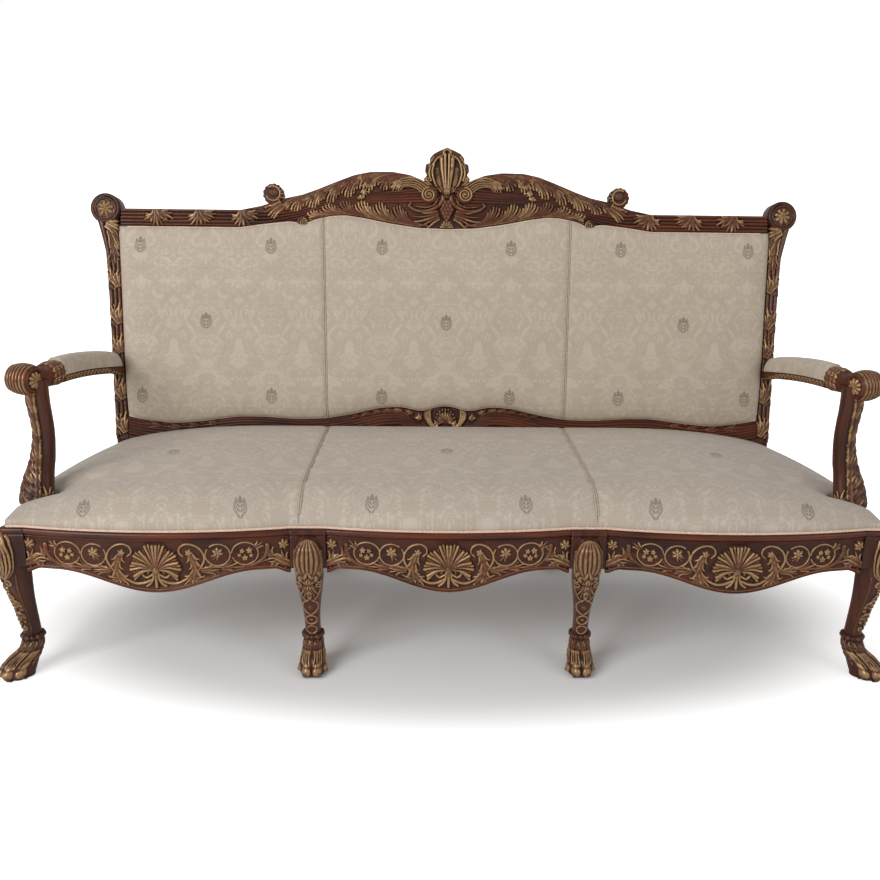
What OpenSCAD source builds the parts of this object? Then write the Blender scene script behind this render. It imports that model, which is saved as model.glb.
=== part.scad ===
// Three-seat cabriole sofa with a carved, reeded show frame, padded open arms and paw feet.
// Millimetres, +Z up. The front faces -Y. The origin is on the floor at the middle of the plan.

/* [Seat] */
// Width of the seat over the two corner legs
front_w = 2040; // [1900:4:2160]
// Width of the back over the two stiles at seat height
rear_w = 1842; // [1740:2:1900]
// Depth from the front rail to the face of the back at seat height
seat_d = 590; // [520:2:640]
// Height of the seat rails' top edge
rail_top_z = 388; // [360:1:420]
// Height of the seat rails behind the apron curves
rail_h = 96; // [84:1:110]
// Thickness of the seat rails
rail_t = 36; // [28:1:42]
// How far the crown of the seat pads stands above the rails
seat_crown = 78; // [50:1:100]
// How far the two outer front rails bow forward
outer_bow = 30; // [16:1:40]
// How far the middle front rail bows forward
middle_bow = 25; // [12:1:36]
// Distance from the middle of the sofa to each seam of the covers
seam_x = 345; // [330:1:380]

/* [Legs] */
// Distance from the middle of the sofa to each inner leg
inner_leg_x = 325; // [300:1:360]
// Width of an inner leg's block between the rails
block_w = 84; // [72:1:96]
// Side of a corner leg's block
corner_block = 48; // [40:1:56]
// Width of the leg across the knee
knee_w = 66; // [56:1:76]
// How far an inner leg's knee swells forward of its ankle
knee_out = 46; // [30:1:54]
// Width of the leg at the ankle
ankle_w = 38; // [32:1:46]
// Width of a paw over its toes
paw_w = 74; // [62:1:84]
// Length of a paw
paw_l = 104; // [88:1:116]
// How far the rear feet stand behind the back of the seat
rear_sweep = 96; // [50:1:120]

/* [Back] */
// Height of the corner scrolls' centres
scroll_z = 1036; // [960:2:1100]
// Angle of the back from upright, in degrees
rake = 13.3; // [8:0.1:16]
// Width of a stile seen from the front
stile_w = 37; // [32:1:44]
// Thickness of the stiles from front to back
stile_t = 44; // [38:1:50]
// How much wider each side of the back is at the scrolls than at the seat
stile_splay = 18; // [0:1:30]
// Height of the reeded top rail
top_rail_h = 48; // [42:1:56]
// Rise of the crest's arches above the top rail
crest_rise = 109; // [80:1:130]
// Thickness of the top rail and the crest
top_rail_t = 38; // [32:1:42]
// Radius of the corner scrolls
scroll_r = 41; // [34:0.5:46]
// Height of the palmette at the middle of the crest
palmette_h = 132; // [110:1:150]
// Half width of the palmette
palmette_half_w = 64; // [52:1:70]
// Rise of the lower back rail's wave
lower_wave = 56; // [40:1:64]
// How far the back pads swell in front of the frame
back_swell = 30; // [18:1:40]

/* [Arms] */
// Height of the arm scrolls' centres
arm_z = 694; // [650:1:740]
// Height of the arm where it meets the stile
arm_back_z = 606; // [570:1:630]
// Distance from the front of the rails to the arm scrolls' centres
arm_scroll_y = 168; // [130:1:200]
// Distance from the middle of the sofa to the arm scrolls' centres
arm_scroll_x = 996; // [970:1:1010]
// Radius of the arm scrolls
arm_scroll_r = 38; // [32:0.5:42]
// Width of the arm scrolls
arm_scroll_w = 58; // [48:1:66]
// Angle by which each arm scroll turns outward, in degrees
arm_turn = 22; // [8:1:26]
// Width of the wooden arm under its pad
arm_w = 50; // [44:1:58]

/* [Hidden] */

// Angles and counts
half_turn = 180;
full_turn = 360;
square_turn = 90;
smooth_round = 360;     // sides of the long bowed curves
round_sides = 96;       // sides of the scrolls and rings
small_round = 32;       // sides of reeds, dowels and screws
curve_steps = 44;       // steps along a cut outline

// Clearances and joint sizes
fit = 0.3;              // gap between pieces that meet
overrun = 3;            // how far a cut runs past a face
tenon_t = 12;           // thickness of a tenon
tenon_l = 20;           // length of a tenon
short_tenon_l = 14;     // length of a side rail's tenon in a corner leg
tenon_edge = 14;        // wood left above and below a tenon
block_d = 58;           // depth of an inner leg's block
block_proud = 6;        // how far the inner blocks stand in front of the rails' ends

corner_size = 62;       // length of a corner block along the rails
corner_low = 12;        // how far the corner blocks stand above the rails' lower edge
corner_drop = 24;       // how far they stay below the rails' top
screw_r = 2.2;
screw_head_r = 4.4;
screw_head_h = 3;
screw_l = 40;
screw_bore = 30;        // depth of the counterbore over a screw's head
screw_side_share = 0.45;
screw_deep_share = 0.42;
rake_foot_rise = 35;    // height above the rails at which the back starts to slope

// Heights and places that follow the driving sizes
wide = front_w + rear_w; // reach of cuts that run past every piece
front_half = front_w / 2;
rear_half = rear_w / 2;
rail_low_z = rail_top_z - rail_h;
corner_leg_x = front_half - corner_block / 2;
rail_out_x = front_half - corner_block;
rail_in_x = inner_leg_x + block_w / 2;
outer_half = (rail_out_x - rail_in_x) / 2;
outer_mid = (rail_out_x + rail_in_x) / 2;
middle_half = inner_leg_x - block_w / 2;

// Front rails
apron_drop = 50;        // depth of an apron's belly below its arches
apron_reach_share = 0.76;
apron_toe_share = 0.88;
apron_toe = 12;         // drop of the apron from its arches to the legs
nosing_r = 9;           // radius of the rounded top edge
nosing_proud = 4;       // how far the top edge stands in front of the rail
nosing_seat_share = 0.8;
bead_h = 8;             // height of the raised edge along the apron
bead_proud = 3;
bead_lip = 1.5;
shell_r = 54;           // radius of an apron's carved shell
shell_rise = 47;        // height of the shell's root above the belly's edge
shell_lobes = 11;
lobe_points = 4;
shell_lobe_h = 4;
shell_proud = 6;
shell_back = 6;
shell_root = 24;        // how far the shell reaches below its fan
scroll_ring_r = 24;     // radius of the C-scrolls beside a shell
scroll_wire_r = 4;
scroll_ring_x_share = 0.345;
scroll_ring_z = 48;     // height of the C-scrolls below the rails' top
scroll_sweep = 250;
rosette_r = 12;
rosette_h = 5;
rosette_x_share = 0.93;
side_bow = 28;          // how far the side rails bow outward
side_rail_t = 36;
side_arch = 12;         // rise of the side rails' lower edge at mid length
side_inset = 1;

// Front legs: each row holds shares of height, width, depth, paw reach, knee reach, toes and squareness
leg_rows_shares = [[0, 0.44, 0.42, 0.86, 0, 0.6, 2.2], [0.018, 0.49, 0.46, 1, 0, 1, 2.2],
  [0.05, 0.49, 0.47, 1, 0, 1, 2.2], [0.085, 0.48, 0.44, 0.92, 0, 0.8, 2.2],
  [0.118, 0.45, 0.38, 0.72, 0, 0.4, 2.2], [0.137, 0.38, 0.32, 0.45, 0, 0.1, 2.2],
  [0.153, 0.375, 0.26, 0.22, 0, 0, 2.2], [0.182, 0.574, 0.24, 0.08, 0, 0, 2.2],
  [0.19, 0.652, 0.265, 0.06, 0, 0, 2.2], [0.215, 0.672, 0.275, 0.02, 0, 0, 2.2],
  [0.24, 0.652, 0.265, 0, 0, 0, 2.2], [0.249, 0.506, 0.2, 0, 0, 0, 2.2],
  [0.3, 0.487, 0.195, 0, 0.05, 0, 2.3], [0.37, 0.498, 0.2, 0, 0.16, 0, 2.4],
  [0.45, 0.472, 0.22, 0, 0.34, 0, 2.5], [0.52, 0.477, 0.245, 0, 0.5, 0, 2.6],
  [0.59, 0.487, 0.28, 0, 0.66, 0, 2.7], [0.67, 0.488, 0.32, 0, 0.82, 0, 2.8],
  [0.8, 0.505, 0.36, 0, 1, 0, 2.9], [0.9, 0.471, 0.35, 0, 1, 0, 2.8],
  [0.955, 0.37, 0.27, 0, 0.9, 0, 2.6], [0.98, 0.247, 0.18, 0, 0.72, 0, 2.4]];
paw_share = 0.137;      // top of the paw
ankle_low_share = 0.182;
ankle_high_share = 0.37;
knee_low_share = 0.67;
toe_count = 4;
toe_sweep = 152;        // angle that the toes take at the front of a paw
toe_points = 5;
heel_points = 12;
toe_swell_share = 0.13;
paw_reach = 13;         // how far an inner paw stands forward of its ankle
corner_reach = 38;      // how far a corner paw stands out along the diagonal
corner_knee = 30;       // how far a corner leg's knee swells out along the diagonal
corner_turn = 42;       // direction of the corner legs from straight ahead
corner_ankle = 26;      // how far a corner leg's ankle stands behind its block's middle
inner_ankle_y = 58;     // depth of an inner leg's ankle behind the front

// Rear legs
rear_foot_w = 34;
rear_foot_t = 34;
rear_leg_bend = 1.7;
rear_rail_gap = 8;       // how far the rear rail stands behind the face of the back
rear_rail_y = seat_d + rear_rail_gap;
rear_rail_t = 30;
cross_rail_drop = 28;   // how far the cross rails stay below the webbing
rear_cheek = 10;        // wood behind the rear rail in an inner rear leg
rear_leg_front = 32;    // wood in front of the rear rail in an inner rear leg

// Back: its own frame has its origin on the face of the back at rake height, x across,
// y into the back and z up the slope
rake_foot_z = rail_top_z + rake_foot_rise;
slope_scroll = (scroll_z - rake_foot_z) / cos(rake);
slope_top = slope_scroll + 1;
slope_low = slope_top - top_rail_h;
scroll_x = rear_half + stile_splay;
stile_out_shares = [[0, 0], [0.25, 0.28], [0.43, 0.5], [0.6, 0.75], [0.71, 0.94], [0.815, 1.2],
  [0.90, 1.9], [0.95, 2.4], [1, 2.4]];
stile_in_shares = [[0, 0], [0.12, 0], [0.2, 0.25], [0.37, 0.5], [0.62, 0.75], [0.92, 1.1], [1, 1.1]];
back_half = rear_half - stile_w;
reed_pitch = 10;
reed_r = 5.6;
reed_sink = 1.2;        // depth of the reeds' centres behind the face
stile_reeds = 3;
top_reeds = 5;
reed_foot = 70;         // height on the slope where the stile reeds start
scroll_ring_share = 0.74;
scroll_wire_share = 0.11;
scroll_eye_share = 0.34;
scroll_proud = 6;
top_lobe_shares = [[0, 0.42], [0.139, 0.42], [0.147, 0.86], [0.217, 0.94], [0.3125, 1], [0.444, 0.99],
  [0.533, 0.91], [0.635, 0.74], [0.752, 0.53], [0.833, 0.40], [0.94, 0.30], [1.067, 0.11], [1.19, 0], [4, 0]];
crest_lift = 36;        // rise of the top rail's lower edge under the crest's shoulders
top_low_shares = [[0, 0.03], [0.167, 0.11], [0.323, 0.4], [0.477, 0.8], [0.585, 1], [0.665, 0.94],
  [0.752, 0.68], [0.82, 0.3], [0.90, 0.5], [1.046, 0.28], [1.19, 0], [4, 0]];
low_wave_shares = [[0, 0.96], [0.03, 0.9], [0.07, 0.66], [0.10, 0.76], [0.141, 0.91], [0.209, 0.84],
  [0.295, 0.52], [0.382, 0.29], [0.47, 0.25], [0.575, 0.36], [0.658, 0.36], [0.77, 0.11], [0.854, 0],
  [0.948, 0.16], [1.05, 0.5]];
low_rail_foot = -20;    // slope height of the lower rail's underside
low_rail_edge = 38;     // slope height of its lowest dip
low_rail_t = top_rail_t;
ear_x = 480;            // distance of the crest's ears from the middle
ear_r = 28;
ear_z = 44;             // height of the ears above the top rail's middle
crest_scroll_x = 50;
crest_scroll_r = 22;
crest_scroll_z = 46;
upright_w = 44;
upright_t = 18;
web_t = 1.2;
web_w = 50;
web_step = 76;
back_web_step = 114;    // distance between the back's crosswise webs
back_web_rise = 60;     // height of the lowest one above the rail
panel_t = 4;
panel_gap = 2;
smooth_reach_share = 0.02;

lip_w = 14;             // width of the ledge that carries the back's webbing
lip_y = 10;             // depth of that ledge behind the frame's face
upright_y = 13;
top_reed_r = 4.7;
top_reed_x_share = 1.2;
top_reed_x = ear_x * top_reed_x_share;
disc_back = 4;
disc_proud = 5;
pendant_drop = 2;
pendant_share = 0.9;
dowel_gap = 0.1;

// Palmette: half outline as shares of its half width and its height
palm_shares = [[0.36, 0], [0.38, 0.10], [0.40, 0.17], [0.96, 0.24], [1, 0.36], [0.84, 0.44],
  [0.96, 0.52], [0.94, 0.64], [0.72, 0.68], [0.74, 0.78], [0.60, 0.86], [0.42, 0.86], [0.34, 0.93],
  [0.20, 0.93], [0.14, 0.985], [0, 1]];
bud_shares = [[0.16, 0.06], [0.50, 0.24], [0.60, 0.44], [0.50, 0.64], [0.30, 0.80], [0, 0.90]];
hollow_shares = [[0.17, 0.26], [0.36, 0.42], [0.34, 0.58], [0.16, 0.74]];
palm_t = 20;
palm_hollow = 9;         // depth of the hollows beside the palmette's rib
bud_proud = 7;
rib_proud = 5;
rib_half_share = 0.10;

// Arms
arm_t = 20;             // height of the wooden arm under its pad
arm_pad_h = 44;
arm_pad_w = 54;
arm_join_x_share = 0.34; // how far across a stile the arm's middle stands
arm_join_x = rear_half - stile_w * arm_join_x_share;
arm_root_share = 0.66;  // width of the arm where it meets the stile
arm_root_reach_share = 0.3;
arm_body_share = 0.962;
collar_start_share = 0.97;
collar_end_share = 1.045;
flute_points = 6;
sink_front = reed_sink - reed_r;
arm_bow = 10;
arm_arch = 7;           // how far an arm curves up between its ends
collar_share = 0.86;    // place of the collar along the arm
collar_h = 62;
collar_w = 58;
arm_end_drop = 8;
arm_steps = 12;
arm_sides = 20;
arm_reeds = 5;
arm_reed_h = 4;
daisy_r = 16;
daisy_h = 4;
arm_square = 4;
arm_skew = 12;          // how far the arm's sections turn by the time it reaches the scroll
arm_collar_in = 44;
arm_collar_x = arm_scroll_x - arm_collar_in;
arm_end_share = 0.2;
collar_lift = 19;
post_foot_in = 25;      // how far a post's foot stands inside the side rail's face
post_foot_y = 158;
post_shares = [[0, 1.19, 0.92, 0, 0], [0.06, 1.19, 0.92, 0.04, 0.1], [0.12, 1.17, 0.9, 0.12, 0.26],
  [0.18, 1.12, 0.86, 0.2, 0.45], [0.25, 1.04, 0.81, 0.35, 0.68], [0.31, 0.96, 0.77, 0.5, 0.85],
  [0.38, 0.88, 0.73, 0.75, 0.97], [0.47, 0.8, 0.69, 0.95, 1], [0.58, 0.74, 0.65, 1.15, 0.86],
  [0.69, 0.71, 0.63, 1.25, 0.6], [0.8, 0.72, 0.64, 1.2, 0.32], [0.91, 0.75, 0.68, 1.06, 0.1],
  [1, 0.76, 0.72, 1, 0]];
post_w = 62;
post_d = 60;
post_top_in = 25;       // how far a post's top stands inside the arm scroll's middle
post_top_x = arm_scroll_x - post_top_in;
post_top_back = 10;
post_top_y = arm_scroll_y + post_top_back;
post_cap_r = 23;
post_square = 2.6;
post_sway = 16;         // how far the post swings back
post_cap_gap = 6;       // bare stretch of the post between its top and the arm's scroll
post_top_z = arm_z - arm_scroll_r - post_cap_gap;
dowel_r = 4;
dowel_l = 40;

// Pads
pad_v_shares = [0, 0.01, 0.03, 0.06, 0.1, 0.145, 0.185, 0.225, 0.265, 0.305, 0.345, 0.39, 0.5, 0.65,
  0.83, 1];
pad_w_shares = [0, 0.016, 0.045, 0.10, 0.18, 0.30, 0.43, 0.57, 0.70, 0.82, 0.90, 0.955, 0.984, 1];
back_columns = 26;
seat_columns = 18;
pad_edge_share = 0.35;  // how much the columns crowd towards a pad's edges
function pad_u(k, columns) = blend(k / columns, ease(k / columns), pad_edge_share);
arm_pad_rows_shares = [[0.02, 0.52, 0.5], [0.032, 0.62, 0.74], [0.07, 0.7, 0.88], [0.16, 0.84, 0.96],
  [0.3, 0.96, 1], [0.45, 1, 1], [0.62, 1, 1], [0.8, 1, 0.99], [0.9, 0.98, 0.96], [0.958, 0.94, 0.9]];
arm_pad_square = 2.4;
pad_arc = 12;
pad_front = 3;          // how far the seat pads stand behind the rails' ends
post_dent = 64;         // depth of the notch that a side pad has for its arm post
post_dent_reach = 76;
post_dent_ease = 44;
seam_reach = 14;
seam_dip = 5;
back_edge = 1;
back_crown_share = 0.86;
web_grip = 12;
pad_gap = 0.4;          // half of the gap between neighbouring pads
front_roll = 110;       // how far the seat pads' rounding reaches from the front
side_roll = 420;        // how far it reaches from the sides
soft_share = 0.7;       // the smaller, the fuller the rounding
pad_side_h_share = 0.18;
pad_over = 5;           // how far the side pads stand inside the side rails' outer face
seam_low_share = 0.9;    // place of the back's seams at the foot and at the top of the back
seam_top_share = 0.3;
seam_close = 16;        // how much nearer the seams stand at the back
back_roll = 60;
web_clearance = 0.2;
webbing_top = rail_top_z + 2 * web_t + web_clearance;

// Shared shapes
function ease(t) = (1 - cos(half_turn * min(1, max(0, t)))) / 2;
function blend(a, b, t) = a + (b - a) * t;
function bow_radius(half, bow) = (half * half + bow * bow) / (2 * bow);
function bow_depth(x, half, bow) =
  let (r = bow_radius(half, bow)) r - sqrt(r * r - x * x) - bow;
function soft_lookup(x, rows) =
  (lookup(abs(x), rows) * 2 + lookup(abs(x - smooth_reach_share), rows)
    + lookup(abs(x + smooth_reach_share), rows)) / 4;

// Skin between rings of points, closed with flat caps; the rings rise and turn left
module loft(rings) {
  sides = len(rings[0]);
  top = len(rings) - 1;
  points = [for (ring = rings) each ring];
  skin = [for (i = [0 : top - 1]) for (j = [0 : sides - 1])
    let (a = i * sides + j, b = i * sides + (j + 1) % sides)
    each [[a, a + sides, b + sides], [a, b + sides, b]]];
  foot = [for (j = [0 : sides - 1]) j];
  cap = [for (j = [sides - 1 : -1 : 0]) top * sides + j];
  polyhedron(points, concat([foot], skin, [cap]));
}

// Box given by two opposite corners
module box(low, high) {
  translate(low)
    cube([for (i = [0 : 2]) high[i] - low[i]]);
}

// Mirror for the left-hand twin: side is 1 for +X and -1 for -X
module twin(side) {
  scale([side, 1, 1])
    children();
}

// Everything is drawn from the front of the seat and shifted so that the plan is centred
module place() {
  translate([0, -y_mid, 0])
    children();
}

// The back's own frame
module on_back() {
  translate([0, seat_d, rake_foot_z])
    rotate([-rake, 0, 0])
      children();
}
function on_back_point(x, y, s) =
  [x, seat_d + y * cos(rake) + s * sin(rake), rake_foot_z - y * sin(rake) + s * cos(rake)];

// Flat shape drawn in x and height, given a thickness from y0 to y1
module upright_plate(points, y0, y1) {
  translate([0, y1, 0])
    rotate([square_turn, 0, 0])
      linear_extrude(y1 - y0)
        polygon(points);
}

// Flat shape drawn in y and height, given a thickness from x0 to x1
module side_plate(points, x0, x1) {
  translate([x0, 0, 0])
    rotate([square_turn, 0, square_turn])
      linear_extrude(x1 - x0)
        polygon(points);
}

// Front legs
function leg_angles() = concat(
  [for (k = [0 : toe_count * toe_points])
    -square_turn - toe_sweep / 2 + toe_sweep * k / (toe_count * toe_points)],
  [for (k = [1 : heel_points - 1]) -square_turn + toe_sweep / 2 + (full_turn - toe_sweep) * k / heel_points]);
function toe_wave(a, swell) =
  let (t = (a + square_turn + toe_sweep / 2) / toe_sweep)
  t < 0 || t > 1 ? 1 : 1 + toe_swell_share * swell * abs(sin(half_turn * t * toe_count));
function rounded(v, e) = sign(v) * pow(abs(v), 2 / e);
function leg_width(share) =
  lookup(share, [[paw_share, paw_w], [ankle_low_share, ankle_w], [ankle_high_share, ankle_w],
    [knee_low_share, knee_w]]);
function leg_ring(row, reach, ankle_y) =
  [for (a = leg_angles()) let (w = toe_wave(a, row[5]))
    [leg_width(row[0]) * row[1] * rounded(cos(a), row[6]) * w,
     ankle_y - reach[0] * row[3] - reach[1] * row[4] + paw_l * row[2] * rounded(sin(a), row[6]) * w,
     rail_top_z * row[0]]];
function leg_rings(reach, ankle_y) = [for (row = leg_rows_shares) leg_ring(row, reach, ankle_y)];
function turned(p, a) = [p[0] * cos(a) - p[1] * sin(a), p[0] * sin(a) + p[1] * cos(a), p[2]];

corner_ankle_spot = [corner_leg_x, corner_block / 2 + corner_ankle];
corner_reaches = [corner_reach, corner_knee];
inner_reaches = [paw_reach, knee_out];
corner_points = [for (ring = leg_rings(corner_reaches, 0)) each
  [for (p = ring) turned(p, corner_turn) + [corner_ankle_spot[0], corner_ankle_spot[1], 0]]];
inner_points = [for (ring = leg_rings(inner_reaches, inner_ankle_y)) each ring];
front_most = min(concat([for (p = concat(corner_points, inner_points)) p[1]],
  [-max(outer_bow, middle_bow) - max(shell_proud, nosing_proud, bead_proud)]));

module front_leg_outer(side) {
  color("saddlebrown")
    place() twin(side)
      difference() {
        union() {
          translate([corner_ankle_spot[0], corner_ankle_spot[1], 0])
            rotate([0, 0, corner_turn])
              loft(leg_rings(corner_reaches, 0));
          box([rail_out_x, 0, rail_low_z], [front_half, corner_block, rail_top_z]);
        }
        box([0, -nosing_proud - 2 * fit, rail_low_z - apron_toe - bead_lip - fit],
          [rail_out_x, seat_d, rail_top_z + overrun]);
        box([0, corner_block, rail_low_z - fit], [wide, seat_d, rail_top_z + overrun]);
        front_tenon_slot(rail_out_x, 1);
        side_tenon_slot(corner_block);
      }
}

module front_leg_inner(side) {
  color("saddlebrown")
    place() twin(side)
      difference() {
        union() {
          translate([inner_leg_x, 0, 0])
            loft(leg_rings(inner_reaches, inner_ankle_y));
          box([inner_leg_x - block_w / 2, -block_proud, rail_low_z],
            [inner_leg_x + block_w / 2, block_d, rail_top_z]);
        }
        front_tenon_slot(rail_in_x, -1);
        front_tenon_slot(middle_half, 1);
        cross_tenon_slot(block_d, -1);
      }
}

// Mortises: the slots are the tenons with a gap all round
module tenon_box(low, high, gap) {
  box([for (i = [0 : 2]) low[i] - gap], [for (i = [0 : 2]) high[i] + gap]);
}
module front_tenon(x, way, gap) {
  y = (rail_t - tenon_t) / 2;
  a = x - way * overrun;
  b = x + way * tenon_l;
  tenon_box([min(a, b), y, rail_low_z + tenon_edge], [max(a, b), y + tenon_t, rail_top_z - tenon_edge], gap);
}
module front_tenon_slot(x, way) front_tenon(x, way, fit);
side_tenon_x = corner_leg_x;
module side_tenon(gap) {
  y = corner_block - short_tenon_l;
  tenon_box([side_tenon_x - tenon_t / 2, y, rail_low_z + tenon_edge],
    [side_tenon_x + tenon_t / 2, corner_block + tenon_t, rail_top_z - tenon_edge], gap);
}
module side_tenon_slot(y) side_tenon(fit);
module cross_tenon(y, way, gap) {
  a = y + way * tenon_l;
  b = y - way * overrun;
  tenon_box([inner_leg_x - tenon_t / 2, min(a, b), rail_low_z + tenon_edge],
    [inner_leg_x + tenon_t / 2, max(a, b), rail_top_z - cross_rail_drop - tenon_edge], gap);
}
module cross_tenon_slot(y, way) cross_tenon(y, way, fit);

// Front rails: bowed boards with a shaped apron, a rounded top edge and a raised lower edge
function apron_low(u) =
  rail_low_z - apron_drop * ease(1 - abs(u) / apron_reach_share)
  - apron_toe * ease((abs(u) - apron_toe_share) / (1 - apron_toe_share));
function apron_line(half, rise) =
  [for (k = [0 : curve_steps]) let (u = 2 * k / curve_steps - 1) [u * half, apron_low(u) + rise]];
function reversed(list) = [for (k = [len(list) - 1 : -1 : 0]) list[k]];

module bow_cut(half, bow, proud, y1) {
  r = bow_radius(half, bow);
  intersection() {
    translate([0, r - bow, 0])
      cylinder(r = r + proud, h = rail_top_z + overrun, $fn = smooth_round);
    box([-half, -bow - proud - overrun, 0], [half, y1, rail_top_z]);
  }
}

module nosing(half, bow) {
  r = bow_radius(half, bow);
  intersection() {
    translate([0, r - bow, rail_top_z - nosing_r * nosing_seat_share])
      rotate_extrude($fn = smooth_round)
        translate([r + nosing_proud - nosing_r, 0])
          circle(r = nosing_r, $fn = small_round);
    box([-half, -bow - nosing_r, 0], [half, rail_t / 2, rail_top_z]);
  }
}

module shell() {
  steps = shell_lobes * lobe_points;
  fan = concat([[0, -shell_root]], [for (k = [0 : steps])
    let (a = half_turn * k / steps, r = shell_r + shell_lobe_h * abs(sin(a * shell_lobes)))
    [r * cos(a), r * sin(a)]]);
  upright_plate(fan, 0, shell_proud + shell_back);
}

module front_rail(mid, half, bow) {
  inner = half - fit;
  belly_z = rail_low_z - apron_drop;
  translate([mid, 0, 0]) {
    intersection() {
      upright_plate(concat(apron_line(inner, 0), [[inner, rail_top_z], [-inner, rail_top_z]]),
        -bow - overrun, rail_t);
      bow_cut(inner, bow, 0, rail_t + overrun);
    }
    nosing(inner, bow);
    intersection() {
      upright_plate(concat(apron_line(inner, -bead_lip), reversed(apron_line(inner, bead_h))),
        -bow - bead_proud - overrun, rail_t / 2);
      bow_cut(inner, bow, bead_proud, rail_t);
    }
    translate([0, -bow - shell_proud, belly_z + shell_rise])
      shell();
    for (way = [-1, 1]) {
      x = way * half * scroll_ring_x_share;
      translate([x, bow_depth(x, half, bow), rail_top_z - scroll_ring_z])
        rotate([square_turn, 0, 0])
          scale([-way, 1, 1])
            rotate([0, 0, -scroll_sweep / 2])
              rotate_extrude(angle = scroll_sweep, $fn = round_sides)
                translate([scroll_ring_r, 0])
                  circle(r = scroll_wire_r, $fn = small_round);
      rosette_x = way * half * rosette_x_share;
      translate([rosette_x - way * rosette_r / 2, bow_depth(rosette_x, half, bow) - rosette_h,
        rail_top_z - scroll_ring_z])
        rotate([-square_turn, 0, 0])
          cylinder(r1 = rosette_r / 2, r2 = rosette_r, h = rosette_h * 2, $fn = small_round);
    }
    front_tenon_ends(inner);
  }
}

module front_tenon_ends(inner) {
  front_tenon(inner, 1, 0);
  scale([-1, 1, 1])
    front_tenon(inner, 1, 0);
}

module front_rail_side(side) {
  color("sienna")
    place() twin(side)
      difference() {
        front_rail(outer_mid, outer_half, outer_bow);
        corner_screws_at_front(1, fit);
      }
}

module front_rail_middle() {
  color("sienna")
    place()
      front_rail(0, middle_half, middle_bow);
}

// Side rails follow an arc from the corner legs to the stiles
side_a = [front_half - side_inset, corner_block];
side_b = [rear_half - side_inset, seat_d];
side_chord = norm(side_b - side_a);
side_half = side_chord / 2;
side_mid = (side_a + side_b) / 2;
side_angle = square_turn + atan((side_a[0] - side_b[0]) / (side_b[1] - side_a[1]));
side_r = bow_radius(side_half, side_bow);
side_centre = side_mid - [sin(side_angle), -cos(side_angle)] * (side_r - side_bow);
function side_edge_x(y, proud) =
  side_centre[0] + sqrt(pow(side_r + proud, 2) - pow(y - side_centre[1], 2));

module side_arc(r_in, r_out, z0, z1) {
  translate([side_centre[0], side_centre[1], z0])
    difference() {
      cylinder(r = r_out, h = z1 - z0, $fn = smooth_round);
      translate([0, 0, -overrun])
        cylinder(r = r_in, h = z1 - z0 + 2 * overrun, $fn = smooth_round);
    }
}

module side_rail(side) {
  z_low = rail_low_z;
  y0 = corner_block + fit;
  y1 = seat_d - fit;
  span = y1 - y0;
  color("sienna")
    place() twin(side)
      difference() {
        union() {
          intersection() {
            side_arc(side_r - side_rail_t, side_r, 0, rail_top_z);
            side_plate(concat(
              [for (k = [0 : curve_steps / 2]) let (t = 2 * k / curve_steps)
                [y0 + span * t, z_low + side_arch * sin(half_turn * t)]],
              [[y1, rail_top_z], [y0, rail_top_z]]), 0, wide);
          }
          intersection() {
            translate([side_centre[0], side_centre[1], rail_top_z - nosing_r * nosing_seat_share])
              rotate_extrude($fn = smooth_round)
                translate([side_r + nosing_proud - nosing_r, 0])
                  circle(r = nosing_r, $fn = small_round);
            box([0, y0, 0], [wide, y1, rail_top_z]);
          }
          side_tenon(0);
          back_tenon(0);
        }
        post_tenon(fit);
      }
}

// Tenon of a side rail into the stile's face, and of an arm post into the side rail
module back_tenon(gap) {
  x = rear_half - stile_w / 2;
  tenon_box([x - tenon_t / 2, seat_d - tenon_l, rail_low_z + tenon_edge],
    [x + tenon_t / 2, seat_d + tenon_t, rail_top_z - tenon_edge], gap);
}
post_tenon_x = side_edge_x(post_foot_y, -side_rail_t / 2);
post_foot_x = side_edge_x(post_foot_y, -post_foot_in);
module post_tenon(gap) {
  tenon_box([post_tenon_x - tenon_t / 2, post_foot_y - tenon_l / 2, rail_top_z - tenon_l],
    [post_tenon_x + tenon_t / 2, post_foot_y + tenon_l / 2, rail_top_z + overrun], gap);
}

// Rear rail, and cross rails from the inner front legs to the inner rear legs
module rear_rail() {
  inner = rear_half - stile_w - fit;
  color("peru")
    place()
      difference() {
        union() {
          box([-inner, rear_rail_y, rail_low_z], [inner, rear_rail_y + rear_rail_t, rail_top_z]);
          rear_tenon(0);
          scale([-1, 1, 1])
            rear_tenon(0);
        }
        for (way = [-1, 1])
          corner_screws_at_rear(way, fit);
      }
}
module rear_tenon(gap) {
  x = rear_half - stile_w;
  y = rear_rail_y + (rear_rail_t - tenon_t) / 2;
  tenon_box([x - overrun, y, rail_low_z + tenon_edge],
    [x + tenon_l, y + tenon_t, rail_top_z - tenon_edge], gap);
}

module rear_leg_inner(side) {
  y_front = rear_rail_y - rear_leg_front;
  y_back = rear_rail_y + rear_rail_t + rear_cheek;
  color("saddlebrown")
    place() twin(side)
      difference() {
        side_plate(concat(
          [for (k = [0 : curve_steps / 2]) let (t = 2 * k / curve_steps)
            [y_front + sweep_at(t), rail_low_z * t]],
          [[y_front, rail_top_z - fit], [y_back, rail_top_z - fit]],
          [for (k = [curve_steps / 2 : -1 : 0]) let (t = 2 * k / curve_steps)
            [blend(y_front + rear_foot_t, y_back, ease(t)) + sweep_at(t), rail_low_z * t]]),
          inner_leg_x - rear_foot_w / 2, inner_leg_x + rear_foot_w / 2);
        box([0, rear_rail_y - fit, rail_low_z - fit],
          [wide, rear_rail_y + rear_rail_t + fit, rail_top_z + overrun]);
        cross_tenon_slot(y_front, 1);
      }
}
function sweep_at(t) = rear_sweep * pow(1 - t, rear_leg_bend);

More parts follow.
